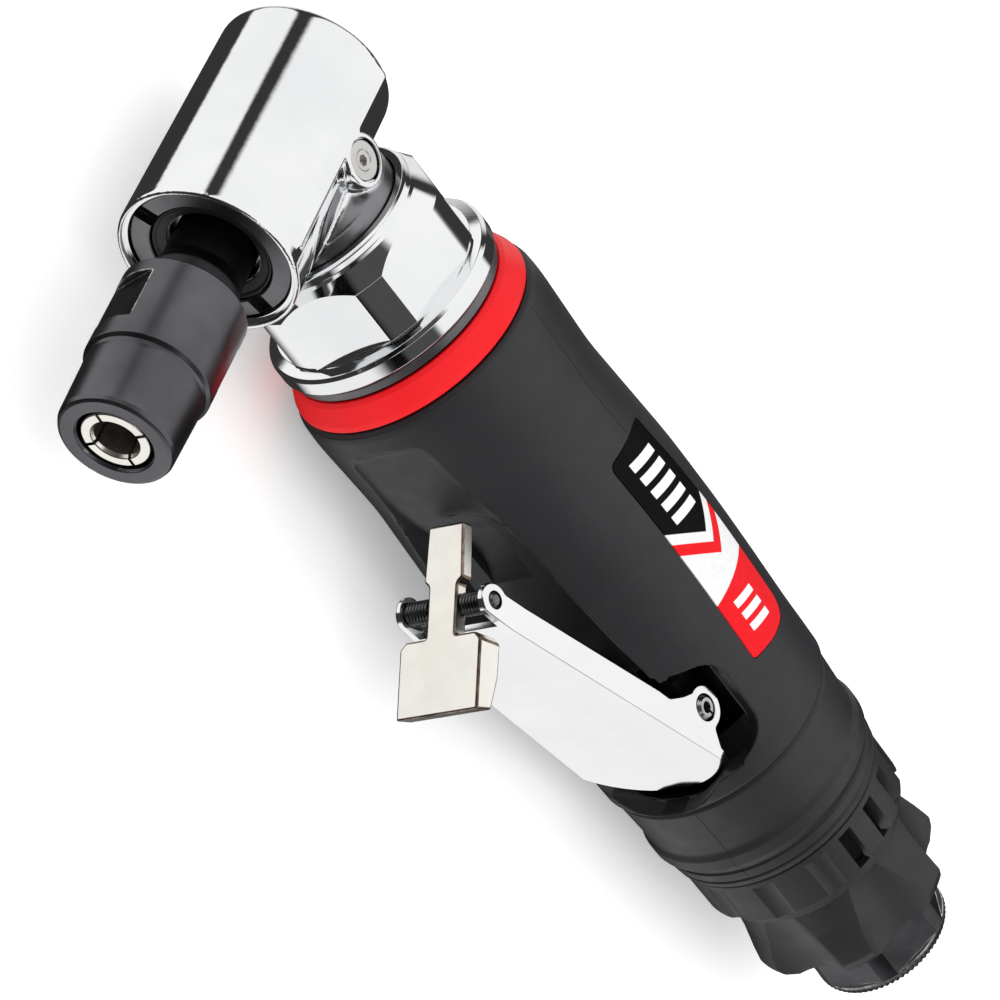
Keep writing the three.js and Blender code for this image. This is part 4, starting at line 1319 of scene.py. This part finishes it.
def studio_world():
    """Glossy rays see the cards; all other rays see an even white room."""
    world = bpy.data.worlds.new("studio")
    world.use_nodes = True
    bpy.context.scene.world = world
    nodes = Nodes(world.node_tree)
    way = nodes.add("ShaderNodeTexCoord").outputs["Generated"]

    def card(direction, half, soft):
        both_ways = {0: way, 1: Vector(direction).normalized()}
        towards = nodes.add("ShaderNodeVectorMath", both_ways, operation="DOT_PRODUCT").outputs["Value"]
        edge = math.cos(math.radians(half + soft))
        inner = math.cos(math.radians(half - soft))
        return nodes.spread(towards, edge, inner, smooth=True)

    level = ROOM
    for direction, half, soft, strength in CARDS:
        white = nodes.math("MULTIPLY", card(direction, half, soft), strength)
        level = nodes.math("MAXIMUM", level, white)
    for direction, half, soft, strength in DARK_CARDS:
        dark = nodes.math("MULTIPLY", card(direction, half, soft), strength)
        level = nodes.math("MULTIPLY", level, nodes.math("SUBTRACT", 1.0, dark))
    polished = nodes.add("ShaderNodeLightPath").outputs["Is Glossy Ray"]
    seen = nodes.add("ShaderNodeBackground", {"Color": rgb(1, 1, 1), "Strength": level})
    room = nodes.add("ShaderNodeBackground", {"Color": rgb(1, 1, 1), "Strength": SURROUND})
    both = nodes.add("ShaderNodeMixShader", {0: polished, 1: room.outputs[0], 2: seen.outputs[0]})
    nodes.add("ShaderNodeOutputWorld", {"Surface": both.outputs[0]})


studio_world()


# The camera looks down on the tool from the collet's side; its axes and place are in the row frame.
CAMERA_RIGHT = Vector((0.5292, 0.3284, 0.7824))
CAMERA_UP = Vector((-0.6714, 0.7259, 0.1494))
CAMERA_BACK = Vector((-0.5188, -0.6044, 0.6046))
CAMERA_PLACE = (-0.40362, -0.44315, 0.47342)


def add_camera():
    camera = bpy.data.objects.new("camera", bpy.data.cameras.new("camera"))
    camera.data.lens = 200
    camera.data.sensor_width = 36
    camera.data.clip_start = 0.01
    camera.data.clip_end = 20
    turn = Matrix((CAMERA_RIGHT, CAMERA_UP, CAMERA_BACK)).transposed()
    camera.matrix_world = Matrix.Translation(CAMERA_PLACE) @ turn.to_4x4()
    bpy.context.scene.collection.objects.link(camera)
    bpy.context.scene.camera = camera


add_camera()
bpy.context.scene.view_settings.view_transform = "Standard"
